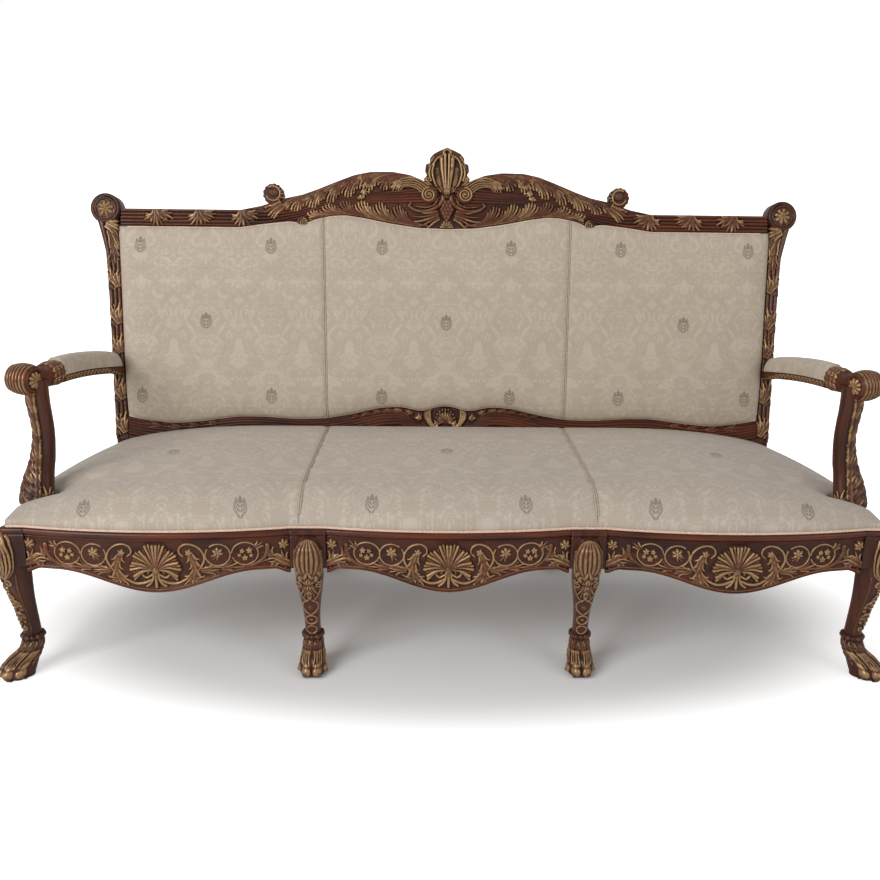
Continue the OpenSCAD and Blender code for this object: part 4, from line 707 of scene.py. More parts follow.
def leg_skin(paw_reach, knee_reach):
    z = np.linspace(0, LEG_TALL, LEG_LEVELS)
    _, wide, deep, in_paw, in_knee, toes, e = table_at(LEG_ROWS, z, 9, 6).T
    q = np.linspace(-1, 1, LEG_COLUMNS, endpoint=False)
    a = np.radians(-90 + 180 * np.sign(q) * np.abs(q) ** 1.35)[:, None]
    t = (np.degrees(a) + 90) / TOE_ARC + 0.5
    wave = np.where((t > 0) & (t < 1), np.abs(np.sin(np.pi * t * TOES)) ** 0.8, 0)
    w = 1 + 0.13 * wave * toes - 0.05 * toes
    x = wide * power_round(np.cos(a), e) * w
    heel = np.where(np.sin(a) > 0, np.interp(z, [0, 12, 30, 46], [0.6, 0.76, 0.93, 1]), 1)
    y = deep * power_round(np.sin(a), e) * w * heel - paw_reach * in_paw - knee_reach * in_knee
    p = np.stack([x, y, np.broadcast_to(z, x.shape)], axis=-1)
    step = np.linalg.norm(p - np.roll(p, 1, axis=0), axis=-1)
    run = np.cumsum(step, axis=0)
    front = np.argmin(np.abs(q))
    return p, run - run[front], p[..., 2]


def ankle_leaves(c):
    """A collar of pearls with leaves under it."""
    for k in range(-6, 7):
        c.dome(k * 10.8, 93, 6.2, 6.5, 7, 0, 0.18 + 0.12 * (k % 2), 1.5)
    for k in range(-5, 6):
        c.spray(1, (k * 13.0, 64), 90, 26, 40, 3, 2.8, 0.75, 0.4, 6)
        c.leaf(bent(*[(k * 13 + 6.5, v) for v in (70, 60, 50)]), 6.0, 2, 3, 0.6)


def paw(c):
    """Four toes with their claws, and hair over them."""
    for u in (-52, -18, 18, 52):
        c.dome(u, 19, 15, 14, 6.5, 0, 0.9, 0, 0.8)
        c.dome(u * 1.02, 33, 12, 10, 4.5, 0, 0.8, 0, 0.8)
        c.strand(bent((u, 12), (u, 7), (u, 1)), 4.6, 2.6, 1.1, 0.35, 3.5)
        for d in (-9, -3, 4, 10):
            c.strand(bent((u * 0.8 + d * 0.8, 58), (u * 0.92 + d, 46), (u + d * 1.3, 32)),
                     2.8, 1.0, 1.0, 0.8, 1.2)
    for u in (-84, -74, 74, 84):
        c.leaf(bent((u * 0.8, 58), (u, 44), (u * 1.06, 26)), 9, 3, 4, 0.6)


def side(w, *points, at=(0, 0)):
    """A smooth line on one side of a middle line: w is 1 or -1."""
    return bent(*[(w * (at[0] + a), at[1] + b) for a, b in points])


def inner_knee(c):
    """A ribbed nut over crossed straps that end in rings."""
    c.dome(0, 320, 33, 48, 13, 7, 0.75, 0.6, 0.42)
    c.leaf(bent((0, 300), (0, 276), (0, 250)), 11, 2, 10, 0.85, full=0.95, base=3)
    for w in (-1, 1):
        c.leaf(side(w, (17, 300), (14, 276), (0, 252)), 13, 3, 7, 0.8, full=0.9, base=2)
        c.strand(side(w, (33, 338), (36, 312), (31, 284), (16, 262), (0, 248)), 3.0, 2.4, 1.0, 0.8, 1)
        c.strand(curl(w * 22, 250, 9, 2, 90, 90 - w * 480), 3, 1.8, 1.1, 0.75, 1)
        c.strand(side(w, (30, 262), (27, 238), (17, 214), (6, 200)), 2.8, 2.0, 1.0, 0.7, 0.6)
        c.strand(side(w, (4, 204), (15, 196), (18, 180), (10, 166), (1, 158)), 2.4, 2.0, 1.0, 0.75, 0.6)
        c.spray(w, (3, 254), -72, 40, 50, 4, 3.2, 0.9, 0.8, 8)
    c.leaf(bent((0, 254), (0, 230), (0, 202)), 9, 3, 6, 0.9, base=1)
    c.strand(curl(0, 142, 12.5, 12.5, 90, 450), 2.2, 2.2, 1.1, 0.75, 0.6)
    c.strand(curl(0, 113, 11, 11, 90, 450), 2.1, 2.1, 1.1, 0.7, 0.6)
    c.dome(0, 142, 4, 4, 2.6, 0, 0.6)
    c.dome(0, 180, 6, 8, 3.0, 0, 0.5)


def corner_knee(c):
    """A ribbed shell over scrolls and a falling line of leaves."""
    for k in range(-5, 6):
        shell = [(k * 6.4 * a, b) for a, b in ((0.35, 372), (0.9, 344), (1.15, 312), (0.95, 282), (0.5, 262))]
        c.strand(bent(*shell), 4.4, 2.4, 1.2, 0.9 - 0.2 * (k % 2), 1.6 + 0.6 * (k % 2))
    for w in (-1, 1):
        c.strand(side(w, (14, 376), (38, 350), (44, 312), (34, 278), (12, 256)), 3.2, 2.4, 1.0, 0.7, 1)
        c.strand(curl(w * 15, 250, 10, 2, 90, 90 - w * 460), 3.2, 2, 1.1, 0.7, 1.2)
        c.strand(side(w, (40, 268), (32, 236), (26, 200), (22, 150), (21, 104)), 2.2, 1.8, 1.0, 0.4, 0.3)
        c.leaf(side(w, (3, 200), (15, 186), (17, 166)), 9, 3, 5, 0.7, base=1)
        c.leaf(side(w, (3, 168), (13, 152), (14, 132)), 8, 3, 5, 0.65, base=1)
        c.strand(curl(w * 8, 118, 6, 1.5, 90, 90 - w * 420), 2.6, 1.6, 1.1, 0.6, 0.8)
    c.flower(0, 232, 12, 6, 5.5, 0.75, 0.3, 2)
    c.leaf(bent((0, 250), (0, 232), (0, 216)), 10, 3, 4, 0.6, base=1)
    c.leaf(bent((2, 222), (-3, 196), (2, 164)), 13, 5, 7, 0.85, base=1.5)
    c.leaf(bent((0, 170), (3, 148), (0, 122)), 11, 4, 6, 0.8, base=1.2)


def carve_leg(paw_reach, knee_reach, pattern):
    p, u, v = leg_skin(paw_reach, knee_reach)
    c = Carving(u, v)
    pattern(c)
    ankle_leaves(c)
    paw(c)
    n = face_normals(p)
    out = np.sign((n[..., :2] * (p[..., :2] - p[..., :2].mean(0))).sum(-1).mean())
    n[..., 2] *= 0.25
    c.h[:, :2] = 0
    p = p + n * out * c.h[..., None]
    p[..., 2] = np.clip(p[..., 2], 0, None)
    gold, hollow = c.shades()
    g = {"p": p, "wrap": (True, False), "gild": gold, "hollow": hollow}
    return [g] + loft_caps(g)


def loft_caps(skin):
    """Flat lids for rings that are stacked along the second direction."""
    return end_caps({"p": skin["p"].transpose(1, 0, 2)})


BLOCK_COLUMNS, BLOCK_SQUARE, BLOCK_SHADE = 120, 22, 0.34


def moulded_block(x0, x1, y0, y1, east):
    """The square block of a leg. The rails' moulding runs over its front, and its east side if east is 1."""
    a = np.linspace(0, 2 * np.pi, BLOCK_COLUMNS, endpoint=False)[:, None]
    roll = np.radians(np.linspace(-85, 90, 16))
    z = np.concatenate([np.linspace(RAIL_LOW, RAIL_TOP - 19, 24), RAIL_TOP - NOSE_R + NOSE_R * np.sin(roll)])
    grow = np.concatenate([np.zeros(23), [-1.5], -4 + NOSE_R * np.cos(roll)])
    c, s = power_round(np.cos(a), BLOCK_SQUARE), power_round(np.sin(a), BLOCK_SQUARE)
    x = (x0 + x1) / 2 + (x1 - x0) / 2 * c + east * (c > 0) * grow * c
    y = (y0 + y1) / 2 + (y1 - y0) / 2 * s + (s < 0) * grow * s
    hollow = np.where(z < RAIL_TOP - 18, BLOCK_SHADE, 0) + 0 * x
    g = {"p": np.stack([x, y, z + 0 * x], axis=-1), "wrap": (True, False), "hollow": hollow}
    return [g] + loft_caps(g)


def place_grids(grids, turn, move):
    c, s = math.cos(math.radians(turn)), math.sin(math.radians(turn))
    out = []
    for g in grids:
        x, y, z = np.moveaxis(g["p"], -1, 0)
        out.append(dict(g, p=np.stack([x * c - y * s, x * s + y * c, z], axis=-1) + np.array(move)))
    return out


# %% Front legs
BLOCK_D, CORNER_BLOCK = 58, 48
inner = place_grids(carve_leg(13, 46, inner_knee), 0, ((MIDDLE_HALF + OUTER_START) / 2, BLOCK_D, 0))
inner += moulded_block(MIDDLE_HALF, OUTER_START, -6, BLOCK_D, 0)
twins("paw_leg_inner", inner, wood_up, "front_leg_inner")
corner = place_grids(carve_leg(38, 30, corner_knee), 42, (OUTER_END + CORNER_BLOCK / 2, 50, 0))
p = corner[0]["p"]
behind = np.clip(p[..., 2] - 284, 0, 12) / 12
p[..., 1] = np.minimum(p[..., 1], mix(p[..., 1], CORNER_BLOCK - 0.5, behind))
beside_rail = (p[..., 1] > -4.5) & (p[..., 2] > 278)
p[..., 0] = np.where(beside_rail, np.maximum(p[..., 0], OUTER_END + 0.2), p[..., 0])
corner += moulded_block(OUTER_END, OUTER_END + CORNER_BLOCK, 0, CORNER_BLOCK, 1)
twins("paw_leg_corner", corner, wood_up, "front_leg_outer")
# %% [markdown]
# ## Boards of the back
# The stiles, the top rail with its crest, the lower rail and the palmette are all boards that lean
# with the back. One helper makes such a board: it follows two edge lines, carries a carved pattern on
# its face, rounds its edges and closes round the back. A second helper makes round discs for scrolls.

# %% Carved boards
def eased_edge(near, r):
    """How far a rounded edge of radius r falls away at a distance from the outline."""
    return r - np.sqrt(np.clip(r ** 2 - np.clip(r - near, 0, r) ** 2, 0, None))


def board(run, low, high, pattern, rows, front, thick=38.0, r=4.0, upright=False):
    across = low[:, None] + (high - low)[:, None] * np.linspace(0, 1, rows)
    along = np.repeat(run[:, None], rows, 1)
    u, v = (across, along) if upright else (along, across)
    c = Carving(u, v)
    pattern(c)
    gold, hollow = c.shades()
    near = np.minimum(across - low[:, None], high[:, None] - across)
    y = front - c.h * np.clip(near / r + 0.35, 0, 1) + eased_edge(near, r)
    sides = front + r + (thick - r - front) * np.array([0.3, 0.7, 1.0])
    turn = [high, high, high, mix(low, high, 0.7), mix(low, high, 0.3), low, low, low]
    depth = [*sides, sides[-1], sides[-1], *sides[::-1]]
    across = np.concatenate([across, np.stack(turn, axis=1)], axis=1)
    y = np.concatenate([y, np.tile(depth, (len(run), 1))], axis=1)
    along = np.repeat(run[:, None], across.shape[1], 1)
    x, s = (across, along) if upright else (along, across)
    pad = ((0, 0), (0, len(turn)))
    skin = {"p": back_point(x, y, s), "wrap": (False, True), "gild": np.pad(gold, pad),
            "hollow": np.pad(hollow, pad)}
    return [skin] + end_caps(skin)


DISC_EDGE = 3.0


def disc(cx, cs, r, pattern, front, back, rows=44, columns=150, place=back_point, lobes=lambda a: 1 + 0 * a):
    """A round boss with a carved face, and with lobes where its radius changes with the angle."""
    a = np.linspace(0, 2 * np.pi, columns, endpoint=False)
    rim = r * lobes(a)
    rho = np.linspace(0.004, 1, rows)[:, None] * rim
    u, v = cx + rho * np.cos(a), cs + rho * np.sin(a)
    c = Carving(u, v)
    pattern(c)
    gold, hollow = c.shades(3, 1.4)
    near = rim - rho
    y = front - c.h * np.clip(near / DISC_EDGE + 0.3, 0, 1) + eased_edge(near, DISC_EDGE)
    depth = [mix(front + DISC_EDGE, back, k) for k in (0.35, 0.7, 1.0)] + [back, back]
    rho = np.concatenate([rho, np.outer([1, 1, 1, 0.5, 0.004], rim)])
    y = np.concatenate([y, np.tile(depth, (columns, 1)).T])
    pad = ((0, len(depth)), (0, 0))
    return {"p": place(cx + rho * np.cos(a), y, cs + rho * np.sin(a)), "wrap": (False, True),
            "gild": np.pad(gold, pad), "hollow": np.pad(hollow, pad)}


def reeds(c, across, centres, r, where, gold, high=1.0):
    """Half-round reeds; the centres are given for every point along."""
    for centre in centres:
        d = np.abs(across - centre)
        h = high * np.sqrt(np.clip(r ** 2 - d ** 2, 0, None)) * where
        up = h > c.h
        c.g = np.where(up, gold * np.clip(2 * h / np.maximum(r * high, 1e-6) - 1, 0, 1), c.g)
        c.h = np.maximum(c.h, h)


def shares(*pairs):
    """A line through share points, mirrored about zero."""
    pairs = np.array(pairs)
    return lambda v: np.interp(np.abs(v), pairs[:, 0], pairs[:, 1])


def softened(f):
    return lambda v: (2 * f(v) + f(v - 0.02) + f(v + 0.02)) / 4


# %% Outlines of the back
CREST_HALF, CREST_RISE, ARCH_RISE, WAVE_RISE, REAR_HALF = 480.0, 109.0, 36.0, 56.0, 921.0
STILE_IN, LOW_END, WAVE_FOOT, REAR_SWAY = 884.0, -20.0, 38.0, 18.0
crest_share = shares((0, .42), (.048, .42), (.053, .6), (.072, .64), (.15, .82), (.217, .93),
                     (.3125, 1), (.444, .99), (.533, .91), (.635, .74), (.752, .53), (.833, .40),
                     (.94, .30), (1.067, .11), (1.19, 0), (4, 0))
arch_share = softened(shares((0, .03), (.167, .11), (.323, .4), (.477, .8), (.585, 1), (.665, .94),
                             (.752, .68), (.82, .3), (.90, .5), (1.046, .28), (1.19, 0), (4, 0)))
wave_share = softened(shares((0, .96), (.03, .9), (.07, .66), (.10, .76), (.141, .91), (.209, .84),
                             (.295, .52), (.382, .29), (.47, .25), (.575, .36), (.658, .36), (.77, .11),
                             (.854, 0), (.948, .16), (1.05, .5)))
stile_out = shares((0, 0), (.25, .28), (.43, .5), (.6, .75), (.71, .94), (.815, 1.2), (.90, 1.9),
                   (.95, 2.4), (1, 2.4))
stile_in = shares((0, 0), (.12, 0), (.2, .25), (.37, .5), (.62, .75), (.92, 1.1), (1, 1.1))


def crest_high(x):
    return SLOPE_TOP + CREST_RISE * crest_share(x / CREST_HALF)


def crest_low(x):
    return SLOPE_LOW + ARCH_RISE * arch_share(x / CREST_HALF)


def wave_high(x):
    return WAVE_FOOT + WAVE_RISE * wave_share(x / STILE_IN)


print("crest %.0f mm above the plain rail" % (crest_high(150.0) - SLOPE_TOP))

# %% [markdown]
# The top rail is plain reeding with three leaf wraps on each side. The crest grows out of it: a long
# acanthus runs along its upper edge and another along its lower edge, with reeds between them that
# end in two volutes under the palmette.

# %% Top rail and crest
def leaf_wrap(c, way, out, inn, low, high):
    """A leaf that is folded over the rail, with its fingers spread from the upper edge."""
    mid = (out + inn) / 2
    c.dome(way * (mid + 2), (low + high) / 2 + 3, 27, 21, 5, 0, 0.5, 2.0)
    c.spray(way, (mid + 8, high - 3), -98, high - low - 4, 150, 9, 5.4, 0.8, 6.0, 12)
    c.spray(way, (mid - 6, high - 10), -165, 34, 60, 4, 4.4, 0.8, 7.0, 8)
    c.spray(way, (mid + 14, high - 16), -30, 26, 60, 3, 4.2, 1.0, 6.5, 6)


def crest_pattern(c):
    x, s = np.abs(c.u), c.v
    reach = [0, 68, 205, 292, 412, 500]
    middle = SLOPE_TOP + np.interp(x, reach, [46, 46, 36, 24, -8, -24])
    pitch = np.interp(x, reach, [8.4, 8.4, 5.6, 5.6, 7, 9.4])
    reeds(c, s, [middle + pitch * k for k in (-2, -1, 0, 1, 2)], pitch * 0.5, True, 0.25, 1.25)

    for w in (-1, 1):
        def at(*pts):
            return side(w, *pts, at=(0, SLOPE_TOP))
        for out, inn in ((829, 756), (712, 640), (594, 520)):
            leaf_wrap(c, w, out, inn, SLOPE_LOW + 1, SLOPE_TOP - 1)
        for a, aim, long, r, wide, gold in ((160, -62, 48, 5.2, 46, 0.55), (202, -62, 44, 5.0, 26, 0.5),
                                            (262, -54, 50, 5.4, 40, 0.65), (298, -52, 44, 4.8, 26, 0.9),
                                            (330, -50, 42, 4.8, 26, 0.7), (362, -48, 40, 4.6, 26, 0.9),
                                            (394, -44, 38, 4.4, 24, 0.8), (426, -40, 38, 4.2, 24, 1.0)):
            c.spray(w, (a + 10, float(crest_high(a)) - 22), aim + 14, long * 0.5, 60, 4, r * 0.7, gold,
                    6.0, wide * 0.3, -24)
        places = np.arange(132, 446, 8.2)
        reach = np.interp(places, [132, 200, 300, 446], [-40, -50, -46, -30])
        c.feather(w, lambda a: crest_high(a) - 5, places, 52, reach, 5.4)
        c.spray(w, (456, SLOPE_TOP + 14), -34, 54, 34, 5, 4.6, 1.0, 4.0, 18, -8)
        edge = [(a, float(crest_high(a)) - 4) for a in range(110, 411, 50)]
        c.strand(side(w, *edge), 4.4, 3.2, 1.0, 0.12, 2)
        for a, b, long in ((238, 96, 20), (224, 78, 20), (230, 58, 18), (238, 42, 14)):
            c.spray(w, (a, SLOPE_TOP + b), -95, long, 110, 5, 3.2, 0.9, 6.5, 6)
        upper = np.array([(50, 72), (84, 90), (118, 90), (141, 80), (153, 63)])
        lower = np.array([(66, 48), (84, 64), (104, 69), (119, 68), (128, 60)])
        for k in range(5):
            c.strand(at(*mix(upper, lower, k / 4)), 2.4, 2.0, 1.7, 1.0, 5)
        c.spray(w, (132, SLOPE_TOP + 84), -52, 36, 46, 5, 3.4, 1.0, 4.0, 14, -12)
        places = np.arange(98, 376, 8.2)
        reach = np.interp(places, [98, 200, 376], [46, 40, 20])
        c.feather(w, lambda a: crest_low(a) + 5, places, 44, reach, 5.0, (0.5, 0.75, 0.95), 2.6)
        edge = [(a, float(crest_low(a)) + 4) for a in range(80, 381, 50)]
        c.strand(side(w, *edge), 2.4, 3.2, 1.2, 0.5, 3)
        c.strand(side(w, *edge[3:], at=(0, 7)), 2.0, 3.4, 1.2, 1.0, 3)
        c.strand(at((16, 62), (11, 36), (23, 17), (50, 3), (82, 2), (104, 14), (100, 22)),
                 6.5, 3.4, 1.0, 0.4, 5)
        c.strand(at((26, 36), (34, 20), (56, 12), (84, 14)), 3.0, 2.0, 1.2, 0.5, 4)
        c.spray(w, (24, SLOPE_TOP - 10), -20, 66, 36, 5, 4.0, 0.8, 3.5, 24, 14)
        c.strand(at((500, 6), (478, 15), (456, 15), (438, 26)), 4.5, 3.0, 1.1, 0.5, 3)
    for row, count in enumerate((2, 3, 4, 3, 2, 1)):
        for k in range(count):
            x = (k - (count - 1) / 2) * 9.5
            c.dome(x, SLOPE_TOP + 26 - 10 * row, 5.6, 7.5, 6, 0, 0.35, 6 - 0.4 * row)
    c.dome(0, SLOPE_TOP + 43, 9, 9, 9, 0, 0.2, 5)
    c.fan(0, SLOPE_LOW + 3, 20, 22, 7, 9, 0, 180, 1.0, hub=0.1)


def volute_face(cx, cs, r, way):
    def cut(c):
        c.strand(curl(cx, cs, r * 0.86, r * 0.1, 90, 90 - way * 800, 90), r * 0.13, r * 0.09, 1.3, 0.95, 0.5)
        c.dome(cx, cs, r * 0.16, r * 0.16, 4, 0, 0.8)
    return cut


def ear_face(cx, cs, r, way):
    def cut(c):
        c.strand(curl(cx, cs, r * 0.72, r * 0.66, 90 - way * 30, 90 + way * 250, 60),
                 r * 0.11, r * 0.08, 1.3, 0.95, 3)
        c.dome(cx - way * r * 0.05, cs + r * 0.16, r * 0.5, r * 0.46, 5, 5, 0.45, 1)
        for k in range(9):
            a = math.radians(90 + way * (-40 + 22 * k))
            c.dome(cx + r * 0.9 * math.cos(a), cs + r * 0.9 * math.sin(a), r * 0.13, r * 0.13, 4, 0, 0.5, 2)
    return cut


top = []
for x0, x1, columns, rows in ((-897, -519, 244, 48), (-520, 520, 704, 124), (519, 897, 244, 48)):
    run = np.linspace(x0, x1, columns)
    top += board(run, crest_low(run), crest_high(run), crest_pattern, rows, -3.0)
for way in (-1, 1):
    x, s, r = way * 50, SLOPE_TOP + 46, 23
    top.append(disc(x, s, r, volute_face(x, s, r, way), -13, 30))
    x, s, r = way * CREST_HALF, SLOPE_TOP + 44, 28
    top.append(disc(x, s, r, ear_face(x, s, r, way), -6, 36, lobes=lambda a: 1 + 0.035 * np.cos(13 * a)))
    x, s, r = way * 396, SLOPE_LOW + 14, 15
    top.append(disc(x, s, r, volute_face(x, s, 13, -way), -11, 4, 26, 90,
                    lobes=lambda a: 1 + 0.25 * np.cos(a - math.radians(90 - way * 45))))
make_mesh("top_rail_and_crest", top, wood_along, ("top_rail",))


# %% [markdown]
# The palmette stands on the crest like a bud that opens: a fluted rib, a deep hollow on each side of
# it, a plain inner leaf and an outer leaf with a scalloped edge.

# %% Palmette
PALM_FOOT, PALM_TALL, PALM_HALF = SLOPE_TOP + CREST_RISE * 0.42, 132.0, 64.0
palm_share = shares((0, .36), (.10, .38), (.17, .42), (.24, .94), (.36, 1), (.44, .86), (.52, .96),
                    (.64, .93), (.68, .76), (.78, .75), (.86, .6), (.93, .34), (.985, .14), (1, .02))
PALM_LEAVES = (((16, 118), (30, 111), (42, 99), (48, 86)), ((43, 97), (53, 85), (58, 68), (55, 52)),
               ((57, 60), (57, 44), (49, 32), (38, 24)))
PALM_VEINS = (((14, 109), (27, 102), (36, 90), (41, 76)), ((41, 86), (48, 73), (49, 56), (43, 40)),
              ((24, 121), (38, 113), (49, 98)), ((53, 92), (61, 76), (61, 60), (56, 46)),
              ((59, 52), (57, 40), (46, 29), (34, 22)), ((36, 106), (46, 92), (51, 78)),
              ((33, 96), (41, 64), (32, 30), (17, 10)))


def palm_pattern(c):
    def at(way, *pts):
        return side(way, *pts, at=(0, PALM_FOOT))
    for w in (-1, 1):
        _, d = trace(c.u, c.v, at(w, (25, 100), (28, 72), (23, 42), (13, 16)))
        c.h -= 9 * np.clip(1 - (d / 9) ** 2, 0, 1) ** 0.6
    for w in (-1, 1):
        for line, r in zip(PALM_LEAVES, (9, 10, 9)):
            c.strand(at(w, *line), r, r * 0.7, 0.7, 0.45, 4)
        for line in PALM_VEINS:
            c.strand(at(w, *line), 2.8, 2.2, 1.5, 1.0, 8, 0.3)
        c.strand(curl(w * 49, PALM_FOOT + 44, 6, 2, 90, 90 - w * 480, 40), 2.4, 2.0, 1.2, 0.9, 7)
        c.strand(at(w, (15, 100), (13, 70), (8, 36), (4, 6)), 6.4, 3.6, 1.1, 0.75, 7)
        c.strand(at(w, (5.5, 112), (5, 70), (3.5, 34), (2, 6)), 3.6, 2.6, 1.2, 1.0, 11)
        c.strand(at(w, (9.5, 112), (8.5, 122), (0, 128)), 4.2, 4.2, 1.1, 0.85, 7)
    c.dome(0, PALM_FOOT + 12, 10, 14, 8, 5, 1.0, 8)


run = np.linspace(PALM_FOOT, PALM_FOOT + PALM_TALL, 150)
half = PALM_HALF * palm_share((run - PALM_FOOT) / PALM_TALL)
palm = board(run, -half, half, palm_pattern, 130, 8.0, thick=29.0, r=3.0, upright=True)
make_mesh("palmette", palm, wood_up, ("crest_palmette",))

# %% [markdown]
# The lower rail of the back follows a wave. Reeds run along its top edge, and in the middle two
# scrolls frame a shell with sprays of leaves beside it.

# %% Lower rail of the back
def low_pattern(c):
    x = np.abs(c.u)
    edge = wave_high(c.u)
    dive = 34 * ease((132 - x) / 74)
    reeds(c, c.v, [edge - dive - 12 - 8.4 * k for k in range(5)], 4.2, x > 62, 0.25)
    for w in (-1, 1):
        for k in range(3):
            strap = side(w, (36 + 5 * k, 92), (44 + 6 * k, 76 - 3 * k), (42 + 6 * k, 54), (34 + 3 * k, 34))
            c.strand(strap, 3.4, 2.4, 1.1, (0.75, 1.1, 0.6)[k], 5, 0.3)
        c.strand(curl(w * 28, 38, 8, 2, 90, 90 + w * 500, 60), 2.8, 2.0, 1.2, 0.8, 4)
        c.spray(w, (70, 52), 62, 24, 60, 4, 3.2, 0.8, 3, 8, 20)
        for k, a in enumerate((92, 122, 152, 182, 212, 242)):
            c.spray(w, (a, float(wave_high(a)) - 10), 14, 26, 44, 4, 2.8, 0.75 - 0.08 * k, 3, 7, 10)
        for k, a in enumerate((640, 690, 742, 796)):
            c.spray(w, (a, float(wave_high(a)) - 12), 18, 38, 40, 4, 3.0, 0.6, 3, 8, 10)
    for k in range(11):
        a = math.radians(8 + 16.4 * k)
        c.dome(29 * math.cos(a), 44 + 38 * math.sin(a), 3.4, 3.4, 4, 0, 0.7, 6)
    c.fan(0, 42, 28, 38, 13, 8, -8, 188, 0.7, hub=0.14)


run = np.linspace(-STILE_IN, STILE_IN, 1100)
low = board(run, LOW_END + 0 * run, wave_high(run), low_pattern, 50, -2.0)
make_mesh("wave_rail", low, wood_along, ("lower_back_rail",))

# %% [markdown]
# The stiles frame the back and run down to the floor as the rear legs, swept back like a sabre. Their
# faces carry three reeds with serrated leaves laid over them, and each head is a round volute.

# %% Stiles with their rear legs
def stile_low(s):
    return STILE_IN + REAR_SWAY * stile_in(s / SLOPE_SCROLL)


def stile_high(s):
    return REAR_HALF + REAR_SWAY * stile_out(s / SLOPE_SCROLL)


def stile_pattern(c):
    inner, outer = stile_low(c.v), stile_high(c.v)
    reeds(c, c.u, [mix(inner, outer, k) for k in (0.2, 0.5, 0.8)], (outer - inner) * 0.145, c.v > 60, 0.45)
    for low, high in ((8, 63), (102, 165), (231, 278), (311, 369), (412, 464)):
        mid, tall = (low + high) / 2, high - low
        a, b = float(stile_low(mid)), float(stile_high(mid))
        c.spray(1, (a + 7, low + 6), 66, tall * 1.02, 64, 6, 4.6, 1.05, 4.5, 14)
        c.spray(1, (mix(a, b, 0.6), mid - 6), 76, tall * 0.66, 80, 5, 3.8, 0.95, 5.5, 8)
        c.spray(1, (b - 8, low + 10), -76, 22, 80, 4, 3.0, 0.6, 4.0, 10)
    for k in range(6):
        finger = bent((941 - 5 * k, 608 - 4 * k), (926 - 4 * k, 578 - k), (919 - 3 * k, 548),
                      (912 - k, 512 + 6 * (k % 2)))
        c.strand(finger, 3.2, 2.0, 1.2, (1.1, 0.5, 0.9)[k % 3], 4.0, 0.4)
    c.spray(1, (936, 588), -156, 46, 50, 5, 4.6, 1.3, 6.5, 18, -14)
    c.spray(1, (926, 572), -112, 60, 34, 5, 3.8, 0.9, 5.0, 20, -8)
    c.dome(901, 566, 5.5, 9, 7, 0, 0.3, 5)
    c.spray(1, (918, 520), -94, 40, 50, 5, 3.2, 0.8, 4.0, 14)


def head_face(c):
    c.strand(curl(SCROLL_X, SLOPE_SCROLL, 36, 33, 90, 448, 60), 3.6, 3.6, 1.0, 0.25)
    c.strand(curl(SCROLL_X, SLOPE_SCROLL, 28, 27, 0, 358, 60), 2.6, 2.6, 1.1, 0.35)
    c.flower(SCROLL_X, SLOPE_SCROLL, 23, 8, 6, 0.85, 0.2)
    c.flower(SCROLL_X, SLOPE_SCROLL, 12, 5, 5, 0.9, 0.6, 3)


def square_loft(rows):
    """A bar through rows of x0, x1, y0, y1 and z, with softened corners."""
    x0, x1, y0, y1, z = np.array(rows).T[..., None]
    a = np.linspace(0, 2 * np.pi, 48, endpoint=False)
    ux, uy = (np.sign(k) * np.abs(k) ** 0.32 for k in (np.cos(a), np.sin(a)))
    p = np.stack([(x0 + x1) / 2 + (x1 - x0) / 2 * ux,
                  (y0 + y1) / 2 + (y1 - y0) / 2 * uy, z + 0 * ux], axis=-1)
    skin = {"p": p, "wrap": (False, True)}
    return [skin] + end_caps(skin)


LEG_FOOT, LEG_SWEEP = 34.0, 96.0


def sabre_rows(x0, x1, y0, deep, top):
    """Sections of a leg that is swept back towards its foot."""
    rows = []
    for z in np.linspace(0, top, 60):
        t = min(z / RAIL_LOW, 1)
        back = y0 + LEG_SWEEP * (1 - t) ** 1.7
        inner_x = mix(x1 - LEG_FOOT, x0, min(t * 1.5, 1))
        rows.append((inner_x, x1, back, back + mix(LEG_FOOT, deep, ease(t)), z))
    return rows


STILE_DEEP, SCROLL_FRONT = 44.0, -9.0
run = np.linspace(-6, SLOPE_SCROLL - 6, 480)
stile = board(run, stile_low(run), stile_high(run), stile_pattern, 44, -1.0, thick=STILE_DEEP, upright=True)
stile += square_loft(sabre_rows(STILE_IN, REAR_HALF, SEAT_DEPTH, STILE_DEEP / math.cos(RAKE), RAKE_FOOT + 4))
stile.append(disc(SCROLL_X, SLOPE_SCROLL, SCROLL_R, head_face, SCROLL_FRONT, STILE_DEEP))
twins("reeded_stile", stile, wood_up, "back_stile")
# %% [markdown]
# ## Arms and posts
# Each arm rises from the stile in a shallow curve, grows wider and ends in a fluted drum that is
# turned outward, with a daisy on its inner end. A collar of leaves closes the arm's pad, and the post
# under the drum sways back and flares at its foot.

# %% Arms
ARM_X, ARM_Y, ARM_Z, ARM_R, DRUM_W, DRUM_TURN = 996.0, 168.0, 694.0, 38.0, 58.0, math.radians(22)
ARM_ROOT = back_point(908.4, -4.7, (606 - RAKE_FOOT) / math.cos(RAKE))
COLLAR = 0.86


def arm_line(t):
    """The middle of the arm's wood: t is 0 at the stile and 1 at the drum."""
    near = np.clip(t / COLLAR, 0, 1)
    x = mix(ARM_ROOT[0], ARM_X - 44, near) + 10 * np.sin(np.pi * near)
    x = np.where(t < COLLAR, x, mix(ARM_X - 44, ARM_X - 11.6, (t - COLLAR) / (1 - COLLAR)))
    return np.stack([x, mix(ARM_ROOT[1], ARM_Y, t), mix(606, ARM_Z - 8, t) + 7 * np.sin(np.pi * t)], axis=-1)


